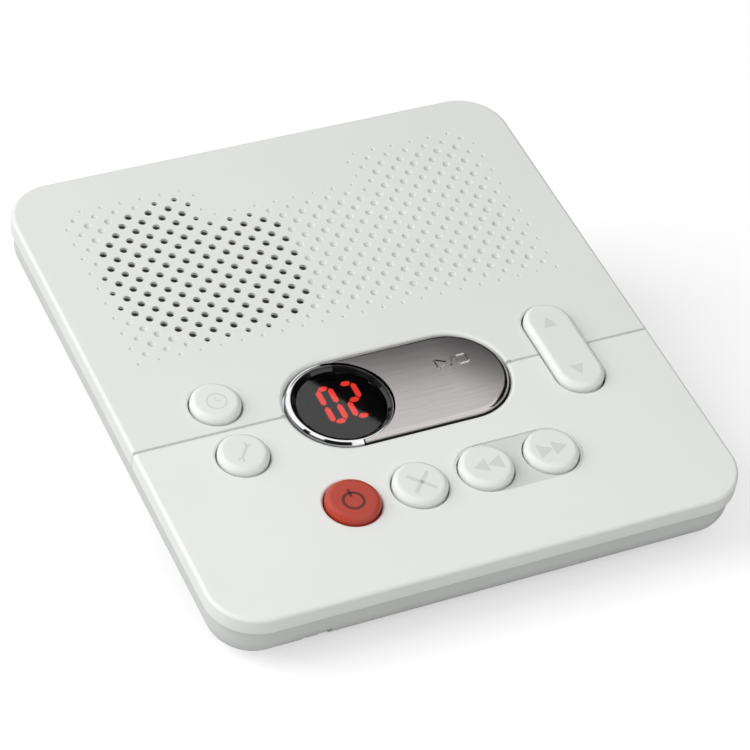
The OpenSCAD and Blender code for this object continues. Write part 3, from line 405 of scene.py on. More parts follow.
@dataclass(frozen=True)
class MouldedPlastic:
    """Injection-moulded plastic with a fine spark-eroded texture.

    The texture breaks the gloss into a soft satin. Its grit, about 0.05 mm, is drawn at
    0.3 mm, because finer grit doesn't show from a step away.

    Attributes:
        name: The material's name.
        colour: Its colour.
        roughness: From a sharp shine at 0 to none at 1.
        ior: The plastic's refractive index.
        grit_per_mm: Bumps in a millimetre.
        grit_depth: Their depth, in millimetres.
        cloud_per_mm: Drifts of the colour in a millimetre.
        cloud: How far the colour drifts.
    """

    name: str
    colour: str
    roughness: float = 0.42
    ior: float = 1.53
    grit_per_mm: float = 3.0
    grit_depth: float = 0.004
    cloud_per_mm: float = 0.03
    cloud: float = 0.012

    def build(self) -> bpy.types.Material:
        """Makes the material.

        Returns:
            The material.
        """
        tree = Tree(bpy.data.materials.new(self.name))
        clouds = tree.noise(self.cloud_per_mm, detail=3.0)
        tree.link(tree.shaded(self.colour, self.cloud, clouds), "Base Color")
        grit = tree.add("ShaderNodeBump", "Normal", Distance=self.grit_depth * MM,
                        Height=tree.noise(self.grit_per_mm, detail=2.0))
        tree.link(grit, "Normal")
        tree.set(Roughness=self.roughness, IOR=self.ior)
        return tree.owner


@dataclass(frozen=True)
class ShadePatch:
    """A box on the slab in which the white plastic is painted darker, a painted shade.

    Attributes:
        middle: The box's middle, in slab millimetres.
        half: Half its three sides.
        colour: The darker colour painted inside it.
    """

    middle: Place
    half: Place
    colour: str

    def inside(self, tree: Tree, frame: SlabFrame) -> bpy.types.NodeSocket:
        """Tests whether a point lies in the box: within half a side of its middle, thrice.

        Args:
            tree: The material's nodes.
            frame: The slab's frame.

        Returns:
            1 in the box and 0 elsewhere.
        """
        x, y, z = (
            tree.add("ShaderNodeMath", "Value", {"operation": "COMPARE"},
                     Value=tree.along(frame, axis, self.middle[axis]), Value_001=0.0,
                     Value_002=self.half[axis] * MM)
            for axis in range(3)
        )
        both = tree.add("ShaderNodeMath", "Value", {"operation": "MULTIPLY"}, Value=x, Value_001=y)
        return tree.add("ShaderNodeMath", "Value", {"operation": "MULTIPLY"}, Value=both,
                        Value_001=z)


@dataclass(frozen=True)
class TwoTexturePlastic:
    """The top case's moulded white ABS: more matt behind the seam and glossier in front.

    The matt field scatters its highlight; its colour is painted a shade greyer, a painted lack of
    sheen.
    The drilled holes, the dimples, the seam and the keys' channel are painted darker, a painted
    shade in these hollows.

    Attributes:
        name: The material's name.
        frame: The slab's frame.
        rear_colour: Colour behind the seam, painted a shade greyer for its lesser sheen.
        front_colour: Colour in front of it.
        hole_shade_colour: Colour painted on the walls deep in the drilled holes, a painted shade.
        speaker: Middle of the drilled circle, in slab millimetres.
        drilled_r: Its radius.
        shade_patches: Boxes painted darker, a painted shade.
        seam_y: The seam's place.
        hole_depth: Depth below which a hole's wall is painted in shade.
        rear_roughness: Roughness behind the seam.
        front_roughness: Roughness in front of it.
        ior: The plastic's refractive index.
        grit_per_mm: Bumps in a millimetre.
        grit_depth: Their depth, in millimetres.
        cloud_per_mm: Drifts of the colours in a millimetre.
        cloud: How far the two main colours drift.
        shade_patch_cloud: How far the painted shade's colours drift.
        hole_shade_cloud: How far the holes' painted shade drifts.
    """

    name: str
    frame: SlabFrame
    rear_colour: str
    front_colour: str
    hole_shade_colour: str
    speaker: Spot
    drilled_r: float
    shade_patches: tuple[ShadePatch, ...]
    seam_y: float = SEAM_Y
    hole_depth: float = 0.8
    rear_roughness: float = 0.5
    front_roughness: float = 0.42
    ior: float = 1.53
    grit_per_mm: float = 3.0
    grit_depth: float = 0.004
    cloud_per_mm: float = 0.03
    cloud: float = 0.01
    shade_patch_cloud: float = 0.02
    hole_shade_cloud: float = 0.1

    def build(self) -> bpy.types.Material:
        """Makes the material: each place's colour is laid over what lies under it.

        Returns:
            The material.
        """
        tree = Tree(bpy.data.materials.new(self.name))
        behind = tree.add("ShaderNodeMath", "Value", {"operation": "GREATER_THAN"},
                          Value=tree.along(self.frame, 1, self.seam_y), Value_001=0.0)
        clouds = tree.noise(self.cloud_per_mm, detail=3.0)
        colour = tree.shaded(self.front_colour, self.cloud, clouds)
        for share, over, cloud in (
            (behind, self.rear_colour, self.cloud),
            *((patch.inside(tree, self.frame), patch.colour, self.shade_patch_cloud)
              for patch in self.shade_patches),
            (self._drilled(tree), self.hole_shade_colour, self.hole_shade_cloud),
        ):
            colour = tree.add("ShaderNodeMix", "Result_Color", {"data_type": "RGBA"},
                              Factor_Float=share, A_Color=colour,
                              B_Color=tree.shaded(over, cloud, clouds))
        tree.link(colour, "Base Color")
        tree.link(tree.add("ShaderNodeMapRange", "Result", Value=behind,
                           To_Min=self.front_roughness, To_Max=self.rear_roughness), "Roughness")
        grit = tree.add("ShaderNodeBump", "Normal", Distance=self.grit_depth * MM,
                        Height=tree.noise(self.grit_per_mm, detail=2.0))
        tree.link(grit, "Normal")
        tree.set(IOR=self.ior)
        return tree.owner

    def _drilled(self, tree: Tree) -> bpy.types.NodeSocket:
        """Tests whether a point lies deep in a drilled hole, where shade is painted: near the
        speaker and far down.

        Args:
            tree: The material's nodes.

        Returns:
            1 there and 0 elsewhere.
        """
        deep = tree.add("ShaderNodeMath", "Value", {"operation": "LESS_THAN"},
                        Value=tree.along(self.frame, 2, -self.hole_depth), Value_001=0.0)
        centre = self.frame.place(np.array([*self.speaker, 0.0]))
        distance = tree.add("ShaderNodeVectorMath", "Value", {"operation": "DISTANCE"},
                            Vector=tree.add("ShaderNodeTexCoord", "Object"),
                            Vector_001=tuple(centre))
        near = tree.add("ShaderNodeMath", "Value", {"operation": "LESS_THAN"}, Value=distance,
                        Value_001=self.drilled_r * MM)
        return tree.add("ShaderNodeMath", "Value", {"operation": "MULTIPLY"}, Value=deep,
                        Value_001=near)


@dataclass(frozen=True)
class RingPlating:
    """Chrome-plated ABS whose inner slope is painted gloss black, a painted dark reflection.

    The black slope runs into the smoked window, and only the crest shines. Finger smears
    vary its shine a little, and the moulding under it is faintly wavy.

    Attributes:
        name: The material's name.
        frame: The slab's frame.
        at: The ring's centre, x and y in slab millimetres.
        black_r: Radius of the area painted black.
        plating: Colour of the chrome.
        black: Colour painted on the inner slope, a painted dark reflection.
        cloud_per_mm: Drifts of the colours in a millimetre.
        plating_cloud: How far the chrome's colour drifts.
        black_cloud: How far the black drifts.
        smear_per_mm: Smears in a millimetre.
        roughness: Least and greatest roughness.
        wave_per_mm: Waves in a millimetre.
        wave_depth: Their depth, in millimetres.
    """

    name: str
    frame: SlabFrame
    at: Spot = RING_AT
    black_r: float = 12.6
    plating: str = "#DADADC"
    black: str = PAINTED_BLACK
    cloud_per_mm: float = 0.4
    plating_cloud: float = 0.02
    black_cloud: float = 0.1
    smear_per_mm: float = 0.25
    roughness: Spot = (0.05, 0.1)
    wave_per_mm: float = 0.15
    wave_depth: float = 0.01

    def build(self) -> bpy.types.Material:
        """Makes the material.

        The distance from the ring's axis is the length of (point - centre) x normal.

        Returns:
            The material.
        """
        tree = Tree(bpy.data.materials.new(self.name))
        centre = self.frame.place(np.array([*self.at, 0.0]))
        offset = tree.add("ShaderNodeVectorMath", "Vector", {"operation": "SUBTRACT"},
                          Vector=tree.add("ShaderNodeTexCoord", "Object"),
                          Vector_001=tuple(centre))
        across = tree.add("ShaderNodeVectorMath", "Vector", {"operation": "CROSS_PRODUCT"},
                          Vector=offset, Vector_001=tuple(self.frame.normal))
        radius = tree.add("ShaderNodeVectorMath", "Value", {"operation": "LENGTH"}, Vector=across)
        plated = tree.add("ShaderNodeMath", "Value", {"operation": "GREATER_THAN"}, Value=radius,
                          Value_001=self.black_r * MM)
        clouds = tree.noise(self.cloud_per_mm, detail=2.0)
        tree.link(tree.add("ShaderNodeMix", "Result_Color", {"data_type": "RGBA"},
                           Factor_Float=plated,
                           A_Color=tree.shaded(self.black, self.black_cloud, clouds),
                           B_Color=tree.shaded(self.plating, self.plating_cloud, clouds)),
                  "Base Color")
        tree.link(plated, "Metallic")
        least, greatest = self.roughness
        smears = tree.noise(self.smear_per_mm, detail=3.0)
        tree.link(tree.add("ShaderNodeMapRange", "Result", Value=smears, To_Min=least,
                           To_Max=greatest), "Roughness")
        waves = tree.add("ShaderNodeBump", "Normal", Distance=self.wave_depth * MM,
                         Height=tree.noise(self.wave_per_mm, detail=1.0))
        tree.link(waves, "Normal")
        return tree.owner


@dataclass(frozen=True)
class BrushedPlate:
    """Vacuum-metallised key: brushed along its length on top, polished round its edge.

    The plating ends just below the edge, and the flank under it is painted black, a painted shade
    under the edge. The brush lines, about 0.1 mm apart, are drawn 0.3 mm apart, so that they show
    as faint streaks.
    The key's crown is in the shading only. It pulls the light into a soft gradient from a
    bright front to a dark rear and right end.

    Attributes:
        name: The material's name.
        colour: Colour of the plating.
        frame: The slab's frame.
        middle: Where the crown is highest, x and y in slab millimetres.
        crown_radius: The crown's radius from front to rear.
        end_radius: Its radius from the middle to the right end.
        plated_to: Height below which the flank is painted black instead of plated.
        black: Colour painted on the flank, a painted shade.
        cloud: How far the streaks change the colours.
        streaks_per_mm: Brush lines in a millimetre.
        streak_stretch: Scale along the lines.
        streak_depth: Depth of the lines, in millimetres.
        edge_roughness: Roughness of the polished edge.
        top_roughness: Roughness of the brushed top.
        facing: How far a face looks along the slab's normal where the edge ends and where
            the top begins.
    """

    name: str
    colour: str
    frame: SlabFrame
    middle: Spot
    crown_radius: float = 120.0
    end_radius: float = 180.0
    plated_to: float = -0.3
    black: str = PAINTED_BLACK
    cloud: float = 0.05
    streaks_per_mm: float = 3.0
    streak_stretch: float = 0.03
    streak_depth: float = 0.003
    edge_roughness: float = 0.1
    top_roughness: float = 0.27
    facing: Spot = (0.97, 0.995)

    def build(self) -> bpy.types.Material:
        """Makes the material.

        Returns:
            The material.
        """
        tree = Tree(bpy.data.materials.new(self.name))
        streaks = tree.noise(self.streaks_per_mm, detail=3.0,
                             stretch=(self.streak_stretch, 1.0, 1.0),
                             turn=(-self.frame.tilt, 0.0, 0.0))
        plated = tree.add("ShaderNodeMath", "Value", {"operation": "GREATER_THAN"},
                          Value=tree.along(self.frame, 2, self.plated_to), Value_001=0.0)
        tree.link(tree.add("ShaderNodeMix", "Result_Color", {"data_type": "RGBA"},
                           Factor_Float=plated,
                           A_Color=tree.shaded(self.black, self.cloud, streaks),
                           B_Color=tree.shaded(self.colour, self.cloud, streaks)), "Base Color")
        tree.link(plated, "Metallic")
        facing = tree.add("ShaderNodeVectorMath", "Value", {"operation": "DOT_PRODUCT"},
                          Vector=tree.add("ShaderNodeNewGeometry", "True Normal"),
                          Vector_001=tuple(self.frame.normal))
        edge, top = self.facing
        tree.link(tree.add("ShaderNodeMapRange", "Result", Value=facing, From_Min=edge,
                           From_Max=top, To_Min=self.edge_roughness,
                           To_Max=self.top_roughness), "Roughness")
        grain = tree.add("ShaderNodeMath", "Value", {"operation": "MULTIPLY"}, Value=streaks,
                         Value_001=self.streak_depth * MM)
        height = tree.add("ShaderNodeMath", "Value", {"operation": "SUBTRACT"}, Value=grain,
                          Value_001=self._crown(tree))
        # The height is already in metres
        tree.link(tree.add("ShaderNodeBump", "Normal", Height=height, Distance=1.0), "Normal")
        return tree.owner

    def _crown(self, tree: Tree) -> bpy.types.NodeSocket:
        """How far the crown lies below its top.

        y squared over twice the crown's radius, and past the middle towards the right end
        also x squared over twice the end's radius. The least value keeps x from going
        below 0 and never holds for y.

        Args:
            tree: The material's nodes.

        Returns:
            The distance, in metres.
        """
        along_x, along_y = (
            tree.add("ShaderNodeMath", "Value", {"operation": "DIVIDE"},
                     Value=self._squared(tree, axis, least), Value_001=2 * radius * MM)
            for axis, radius, least in ((0, self.end_radius, 0.0), (1, self.crown_radius, -1.0))
        )
        return tree.add("ShaderNodeMath", "Value", {"operation": "ADD"}, Value=along_x,
                        Value_001=along_y)

    def _squared(self, tree: Tree, axis: int, least: float) -> bpy.types.NodeSocket:
        """Square of the distance from the crown's middle along an axis.

        Args:
            tree: The material's nodes.
            axis: 0 or 1 for x or y.
            least: The distance counts as this where it is less, in metres.

        Returns:
            The square.
        """
        past = tree.add("ShaderNodeMath", "Value", {"operation": "MAXIMUM"},
                        Value=tree.along(self.frame, axis, self.middle[axis]), Value_001=least)
        return tree.add("ShaderNodeMath", "Value", {"operation": "MULTIPLY"}, Value=past,
                        Value_001=past)


@dataclass(frozen=True)
class SmokedAcrylic:
    """Cast acrylic window, dyed smoke grey.

    The light passes it on its way in and out, and the module behind it is black, so that
    it looks black and only the lit figures come through.
    """

    name: str
    tint: str = "#8A8C90"
    cloud_per_mm: float = 0.1
    cloud: float = 0.02
    roughness: float = 0.02
    ior: float = 1.49

    def build(self) -> bpy.types.Material:
        """Makes the material.

        Returns:
            The material.
        """
        tree = Tree(bpy.data.materials.new(self.name))
        clouds = tree.noise(self.cloud_per_mm, detail=1.0)
        tree.link(tree.shaded(self.tint, self.cloud, clouds), "Base Color")
        tree.set(Roughness=self.roughness, IOR=self.ior, Transmission_Weight=1.0)
        return tree.owner


@dataclass(frozen=True)
class LitSegment:
    """Diffusing plastic bar with a red diode behind it, which lights it a little unevenly."""

    name: str
    colour: str = "#FF4030"
    strength: float = 3.2
    cloud_per_mm: float = 0.6
    cloud: float = 0.06
    roughness: float = 0.5

    def build(self) -> bpy.types.Material:
        """Makes the material.

        Returns:
            The material.
        """
        tree = Tree(bpy.data.materials.new(self.name))
        glow = tree.shaded(self.colour, self.cloud, tree.noise(self.cloud_per_mm, detail=1.0))
        tree.link(glow, "Base Color")
        tree.link(glow, "Emission Color")
        tree.set(Roughness=self.roughness, Emission_Strength=self.strength)
        return tree.owner


@dataclass(frozen=True)
class RolledMetal:
    """Steel or brass with faint drawing lines, as screws, frames, pins and contacts have."""

    name: str
    colour: str
    roughness: float = 0.35
    lines_per_mm: float = 2.0
    line_stretch: float = 0.15
    line_depth: float = 0.004
    cloud: float = 0.08

    def build(self) -> bpy.types.Material:
        """Makes the material.

        Returns:
            The material.
        """
        tree = Tree(bpy.data.materials.new(self.name))
        lines = tree.noise(self.lines_per_mm, detail=3.0, stretch=(1.0, 1.0, self.line_stretch))
        tree.link(tree.shaded(self.colour, self.cloud, lines), "Base Color")
        tree.link(tree.add("ShaderNodeBump", "Normal", Height=lines,
                           Distance=self.line_depth * MM), "Normal")
        tree.set(Metallic=1.0, Roughness=self.roughness)
        return tree.owner


@dataclass(frozen=True)
class SoftCompound:
    """Rubber, foam, coated paper or ferrite: no gloss, and a visible pore or fibre."""

    name: str
    colour: str
    pore_per_mm: float
    pore_depth: float
    roughness: float = 0.85
    ior: float = 1.5
    cloud: float = 0.1

    def build(self) -> bpy.types.Material:
        """Makes the material.

        Returns:
            The material.
        """
        tree = Tree(bpy.data.materials.new(self.name))
        pores = tree.noise(self.pore_per_mm, detail=4.0)
        tree.link(tree.shaded(self.colour, self.cloud, pores), "Base Color")
        tree.link(tree.add("ShaderNodeBump", "Normal", Height=pores,
                           Distance=self.pore_depth * MM), "Normal")
        tree.set(Roughness=self.roughness, IOR=self.ior)
        return tree.owner


@dataclass(frozen=True)
class PrintedBoard:
    """Glass-fibre board under green solder mask: the weave shows through faintly.

    Attributes:
        name: The material's name.
        colour: Colour of the solder mask.
        weave_scale: Scale of the bands, for threads about 1.6 mm apart. Real ones are
            closer, but finer threads wouldn't show.
        wander: How far the threads wander.
        cloud: How far they change the colour.
        thread_depth: Their depth, in millimetres.
        roughness: Roughness of the mask.
        ior: Its refractive index.
    """

    name: str
    colour: str = "#2F6B46"
    weave_scale: float = 191.083
    wander: float = 0.5
    cloud: float = 0.12
    thread_depth: float = 0.01
    roughness: float = 0.3
    ior: float = 1.55

    def build(self) -> bpy.types.Material:
        """Makes the material.

        Returns:
            The material.
        """
        tree = Tree(bpy.data.materials.new(self.name))
        weave = tree.add("ShaderNodeTexWave", "Fac", {"wave_type": "BANDS"},
                         Vector=tree.add("ShaderNodeTexCoord", "Object"),
                         Scale=self.weave_scale, Distortion=self.wander)
        tree.link(tree.shaded(self.colour, self.cloud, weave), "Base Color")
        tree.link(tree.add("ShaderNodeBump", "Normal", Height=weave,
                           Distance=self.thread_depth * MM), "Normal")
        tree.set(Roughness=self.roughness, IOR=self.ior)
        return tree.owner


class Finish(Enum):
    """The finishes that several sub-assemblies share, each with what it gives the eye."""

    # ABS moulded a little smoother than the case: bright caps with a soft shine
    WHITE_KEY = MouldedPlastic("moulded_abs_white_key", "#E6E8E5", roughness=0.38)
    # The same ABS a shade greyer, which sets the base off from the top: partly a greyer plastic,
    # partly painted shade on its downward faces
    BASE = MouldedPlastic("moulded_abs_white_base", "#CFD1CF", roughness=0.42)
    # ABS dyed through: an orange red with a satin shine
    RED_KEY = MouldedPlastic("moulded_abs_red_key", "#B33A27", roughness=0.4)
    # Moulded marks, duller than the cap: pale grey lines on white
    KEY_MARK = MouldedPlastic("sunk_mark_in_white_key", "#D3D6D3", roughness=0.5)
    # Printed ink: a dark matt line on the red cap
    RED_MARK = MouldedPlastic("printed_mark_dark_red", "#5E1D14", roughness=0.5)
    # Moulded polyamide: soft black with a broad, dim shine
    BLACK = MouldedPlastic("moulded_polyamide_black", "#2B2D2F", roughness=0.5)
    # Cast and polished: a sharp reflection on a dark window
    LENS = SmokedAcrylic("cast_acrylic_smoked")
    # Diffuser over a diode: an even red glow
    SEGMENT = LitSegment("diffuser_bar_lit_red")
    # Drawn and zinc-plated: a cool grey with a broken shine
    STEEL = RolledMetal("zinc_plated_steel", "#B7B9BB")
    # Stamped and gold-flashed: a warm, brighter shine
    BRASS = RolledMetal("gold_flashed_brass", "#C9A64B", roughness=0.25)
    # Moulded rubber: dull black with a fine pore
    RUBBER = SoftCompound("moulded_rubber_black", "#2B2D2F", 1.5, 0.02)
    # Cut foam: dull grey with open cells
    FOAM = SoftCompound("cell_foam_grey", "#6E7072", 1.2, 0.08)
    # Pressed and coated paper: dull black with coarse fibres, seen through the grille
    PAPER = SoftCompound("coated_cone_paper", "#26272A", 0.8, 0.04)
    # Pressed and sintered: dark grey with a faint grain
    FERRITE = SoftCompound("sintered_ferrite", "#3C3E40", 1.0, 0.02, roughness=0.6)
    # Glass fibre under solder mask: glossy green with a faint weave
    BOARD = PrintedBoard("solder_masked_glass_fibre")
    # Moulded case of the relay: creamy white and smooth
    RELAY = MouldedPlastic("moulded_relay_case", "#E8E8E4", roughness=0.3)
    # Shrunk sleeve of the capacitors: smooth dark blue
    SLEEVE = MouldedPlastic("shrink_sleeve_blue", "#27324A", roughness=0.25)
    # Wound tape of the transformer: brown with a low shine
    TAPE = MouldedPlastic("winding_tape_brown", "#4A4038", roughness=0.45)
    # Extruded insulation: plain red with a soft shine
    LEAD = MouldedPlastic("wire_insulation_red", "#C8503C", roughness=0.45)
    # Extruded insulation: pale grey and dull
    RIBBON = MouldedPlastic("ribbon_insulation_grey", "#C8C4B8", roughness=0.5)


class Finishes:
    """Builds each finish once and dresses nodes and pieces with it."""

    def __init__(self) -> None:
        """Starts with no material made."""
        self._made: dict[str, bpy.types.Material] = {}

    def get(self, finish: object) -> bpy.types.Material:
        """The material of a finish, made on first use.

        Args:
            finish: A member of Finish, or a finish of its own.

        Returns:
            Its material.
        """
        recipe = finish.value if isinstance(finish, Finish) else finish
        if recipe.name not in self._made:
            self._made[recipe.name] = recipe.build()
        return self._made[recipe.name]

    def dress(self, finish: object, *objects: bpy.types.Object) -> None:
        """Gives objects one finish on all their faces.

        Args:
            finish: The finish.
            objects: What takes it.
        """
        material = self.get(finish)
        for obj in objects:
            obj.data.materials.clear()
            obj.data.materials.append(material)


# ------------------------------------------------------------------ the machine


@dataclass
class Bench:
    """What every sub-assembly builds with."""

    frame: SlabFrame
    nodes: dict[str, bpy.types.Object]
    finishes: Finishes

    def finish(self, finish: object, *names: str) -> None:
        """Dresses CAD nodes."""
        self.finishes.dress(finish, *(self.nodes[name] for name in names))

    def add(self, piece: bpy.types.Object, body: str, finish: object, slot: str) -> None:
        """Dresses a new piece and lets it ride.

        Args:
            piece: The new piece, at the origin.
            body: The body that it rides on.
            finish: Its finish.
            slot: The record's material slot, not used.
        """
        self.finishes.dress(finish, piece)
        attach(piece, body)
        LOG.info("%s: %d faces on %s", piece.name, len(piece.data.polygons), body)


@dataclass
class Case:
    """The two housings, their screws and the feet.

    The shade patches are painted shade in the dimples, the seam and the channel between the last
    two front keys.
    """

    bench: Bench
    # The rear is painted a shade greyer than the front, a painted lack of sheen
    rear_colour: str = "#E3E5E2"
    front_colour: str = "#E8EAE7"
    # The walls deep in the drilled holes are painted this darker colour, a painted shade
    hole_shade_colour: str = "#5E5A51"
    speaker: Spot = (-29.4, 35.2)
    drilled_r: float = 27.6
    # Painted shade: the dimples, the seam and the keys' channel are painted darker than the plastic
    # round them
    shade_patches: tuple[ShadePatch, ...] = (
        ShadePatch((0.0, 36.0, -0.34), (61.0, 31.0, 0.26), "#D1D3D0"),
        ShadePatch((0.0, SEAM_Y, -0.3), (80.0, 0.5, 0.25), "#C4C6C3"),
        ShadePatch((18.1, FRONT_ROW_Y, -0.35), (8.85, 8.2, 0.2), "#D3D5D1"),
    )

    def dress(self) -> None:
        """Dresses the housings, screws and feet."""
        top = TwoTexturePlastic(
            "moulded_abs_white_top", self.bench.frame, self.rear_colour, self.front_colour,
            self.hole_shade_colour, self.speaker, self.drilled_r, self.shade_patches,
        )
        self.bench.finish(top, "upper_housing")
        self.bench.finish(Finish.BASE, "lower_housing")
        self.bench.finish(Finish.STEEL, "housing_screws")
        self.bench.finish(Finish.RUBBER, "rubber_feet")


@dataclass(frozen=True)
class Drawing:
    """A mark's lines, in millimetres round its middle.

    Attributes:
        rings: Radius of the middle line and width of each ring.
        strokes: Start, end and width of each straight stroke.
        triangles: Centre of each triangle, and the way that it points.
        triangle_size: Length and base of the triangles.
    """

    rings: tuple[Spot, ...] = ()
    strokes: tuple[tuple[Spot, Spot, float], ...] = ()
    triangles: tuple[tuple[Spot, Spot], ...] = ()
    triangle_size: Spot = (3.9, 4.6)


class Mark(Enum):
    """The marks on the keys."""

    CLOCK = Drawing(rings=((2.45, 0.5),), strokes=(
        ((0.0, 0.0), (0.0, 1.5), 0.45), ((0.1, 0.0), (1.1, 0.0), 0.45),
    ))
    WRENCH = Drawing(strokes=(
        ((-1.14, -1.52), (1.14, 1.52), 0.75),
        ((-1.14, -1.52), (-1.12, -2.91), 0.5), ((-1.14, -1.52), (-2.48, -1.89), 0.5),
        ((1.14, 1.52), (1.12, 2.91), 0.5), ((1.14, 1.52), (2.48, 1.89), 0.5),
    ))
    POWER = Drawing(rings=((2.5, 0.75),), strokes=(((0.0, 1.2), (0.0, 3.7), 0.75),))
    CROSS = Drawing(strokes=(((-2.8, -2.8), (2.8, 2.8), 1.0), ((-2.8, 2.8), (2.8, -2.8), 1.0)))
    BACK = Drawing(triangles=(((-1.95, 0.0), (-1.0, 0.0)), ((1.95, 0.0), (-1.0, 0.0))))
    SKIP = Drawing(triangles=(((-1.95, 0.0), (1.0, 0.0)), ((1.95, 0.0), (1.0, 0.0))))
    VOLUME = Drawing(triangles=(((0.0, -8.75), (0.0, -1.0)), ((0.0, 8.75), (0.0, 1.0))),
                     triangle_size=(3.7, 4.0))
    # A triangle, a slash and a square, all in outline
    PLAY_STOP = Drawing(strokes=(
        ((-4.2, 1.6), (-4.2, -1.6), 0.8), ((-4.2, -1.6), (-1.3, 0.0), 0.8),
        ((-1.3, 0.0), (-4.2, 1.6), 0.8),
        ((-0.9, -1.6), (0.5, 1.6), 0.8),
        ((1.4, -1.4), (4.2, -1.4), 0.8), ((4.2, -1.4), (4.2, 1.4), 0.8),
        ((4.2, 1.4), (1.4, 1.4), 0.8), ((1.4, 1.4), (1.4, -1.4), 0.8),
    ))


@dataclass(frozen=True)
class Relief:
    """How a mark stands on a key.

    Attributes:
        top: Height of the key's top.
        sink: How far the mark reaches down into the key.
        proud: How far it stands out of it.
        slope: How far its sides draw in.
    """

    top: float = KEY_RISE
    sink: float = 0.15
    proud: float = 0.03
    slope: float = 0.02

    def parts(self, mark: Mark, at: Sequence[float]) -> list[Part]:
        """The closed parts of a mark.

        Args:
            mark: Which mark.
            at: Its middle, x and y in slab millimetres.

        Returns:
            Points and faces of each part.
        """
        drawing, middle = mark.value, np.array(at, float)
        span = (self.top - self.sink, self.top + self.proud, self.slope)
        outlines = [stroke(middle + a, middle + b, width) for a, b, width in drawing.strokes]
        outlines += [
            triangle(middle + centre, way, *drawing.triangle_size)
            for centre, way in drawing.triangles
        ]
        rings = [relief_ring(middle, radius, width, *span) for radius, width in drawing.rings]
        return rings + [relief_prism(outline, *span) for outline in outlines]


@dataclass
class RoundKey:
    """A round key: the finish of its cap and plunger, and the mark on its top.

    Attributes:
        name: The key's body and node.
        at: Its centre, x and y in slab millimetres.
        mark: What stands on it.
        finish: The cap's finish.
        mark_finish: The mark's finish.
        slot: The record's material slot.
        mark_shift: Place of the mark's middle from the key's.
    """

    name: str
    at: Spot
    mark: Mark
    finish: Finish = Finish.WHITE_KEY
    mark_finish: Finish = Finish.KEY_MARK
    slot: str = "white_plastic"
    mark_shift: Spot = (0.0, -0.4)

    def build(self, bench: Bench) -> None:
        """Dresses the key and adds its mark.

        Args:
            bench: What it is built with.
        """
        bench.finish(self.finish, self.name)
        parts = Relief().parts(self.mark, np.add(self.at, self.mark_shift))
        piece = joined(f"{self.name}_mark", parts, bench.frame)
        bench.add(piece, self.name, self.mark_finish, self.slot)
        bench.finish(Finish.BLACK, self.name.replace("button", "plunger"))


@dataclass
class Keys:
    """The six round keys and the volume rocker.

    Attributes:
        bench: What they are built with.
        side_x: Place of the two left keys across the slab.
        side_dy: Their distance from the seam.
        front_x: Middle of the front row across the slab.
        pitch: Distance between front keys.
        power_shift: Place of the power key's mark from the key's middle.
        rocker_mark_at: Middle between the rocker's two triangles.
    """

    bench: Bench
    side_x: float = -45.1
    side_dy: float = 8.75
    front_x: float = 0.4
    pitch: float = 17.7
    power_shift: Spot = (-0.3, -0.7)
    rocker_mark_at: Spot = (45.4, -18.85)

    def build(self) -> None:
        """Builds all the keys; the front ones stand a pitch apart, half to each side."""
        front = [(self.front_x + step * self.pitch, FRONT_ROW_Y) for step in (-1.5, -0.5, 0.5, 1.5)]
        for key in (
            RoundKey("clock_button", (self.side_x, SEAM_Y + self.side_dy), Mark.CLOCK),
            RoundKey("setup_button", (self.side_x, SEAM_Y - self.side_dy), Mark.WRENCH),
            RoundKey("power_button", front[0], Mark.POWER, Finish.RED_KEY, Finish.RED_MARK,
                     "red_plastic", self.power_shift),
            RoundKey("delete_button", front[1], Mark.CROSS),
            RoundKey("repeat_button", front[2], Mark.BACK),
            RoundKey("skip_button", front[3], Mark.SKIP),
        ):
            key.build(self.bench)
        self._rocker()

    def _rocker(self) -> None:
        """Dresses the rocker and adds its two triangles."""
        bench = self.bench
        bench.finish(Finish.WHITE_KEY, "volume_rocker")
        bench.finish(Finish.BLACK, "volume_up_plunger", "volume_down_plunger")
        bench.finish(Finish.STEEL, "rocker_pin")
        parts = Relief().parts(Mark.VOLUME, self.rocker_mark_at)
        piece = joined("volume_rocker_marks", parts, bench.frame)
        bench.add(piece, "volume_rocker", Finish.KEY_MARK, "white_plastic")


@dataclass
class OvalField:
    """The oval opening: plated bezel, smoked window, lit figures and the play and stop key.

    Attributes:
        bench: What it is built with.
        plate_colour: Colour of the key's plating.
        crown_at: Where the key's crown is highest.
        mark_at: Middle of the key's marks.
        relief: How they stand on the key.
    """

    bench: Bench
    plate_colour: str = "#B4B0B0"
    crown_at: Spot = (14.0, -13.0)
    mark_at: Spot = (16.5, -14.2)
    relief: Relief = Relief(top=0.6, sink=0.2, proud=0.3, slope=0.33)

    def build(self) -> None:
        """Dresses the oval's nodes and adds the key's raised marks."""
        bench = self.bench
        plate = BrushedPlate("metallised_brushed_key", self.plate_colour, bench.frame,
                             self.crown_at)
        bench.finish(plate, "play_stop_key")
        bench.finish(RingPlating("plated_abs_chrome_ring", bench.frame), "display_bezel")
        bench.finish(Finish.LENS, "display_lens")
        bench.finish(Finish.BLACK, "led_display", "play_stop_plungers")
        bench.finish(Finish.SEGMENT, "led_segments")
        parts = self.relief.parts(Mark.PLAY_STOP, self.mark_at)
        bench.add(joined("play_stop_marks", parts, bench.frame), "play_stop_key", plate,
                  "silver_plastic")


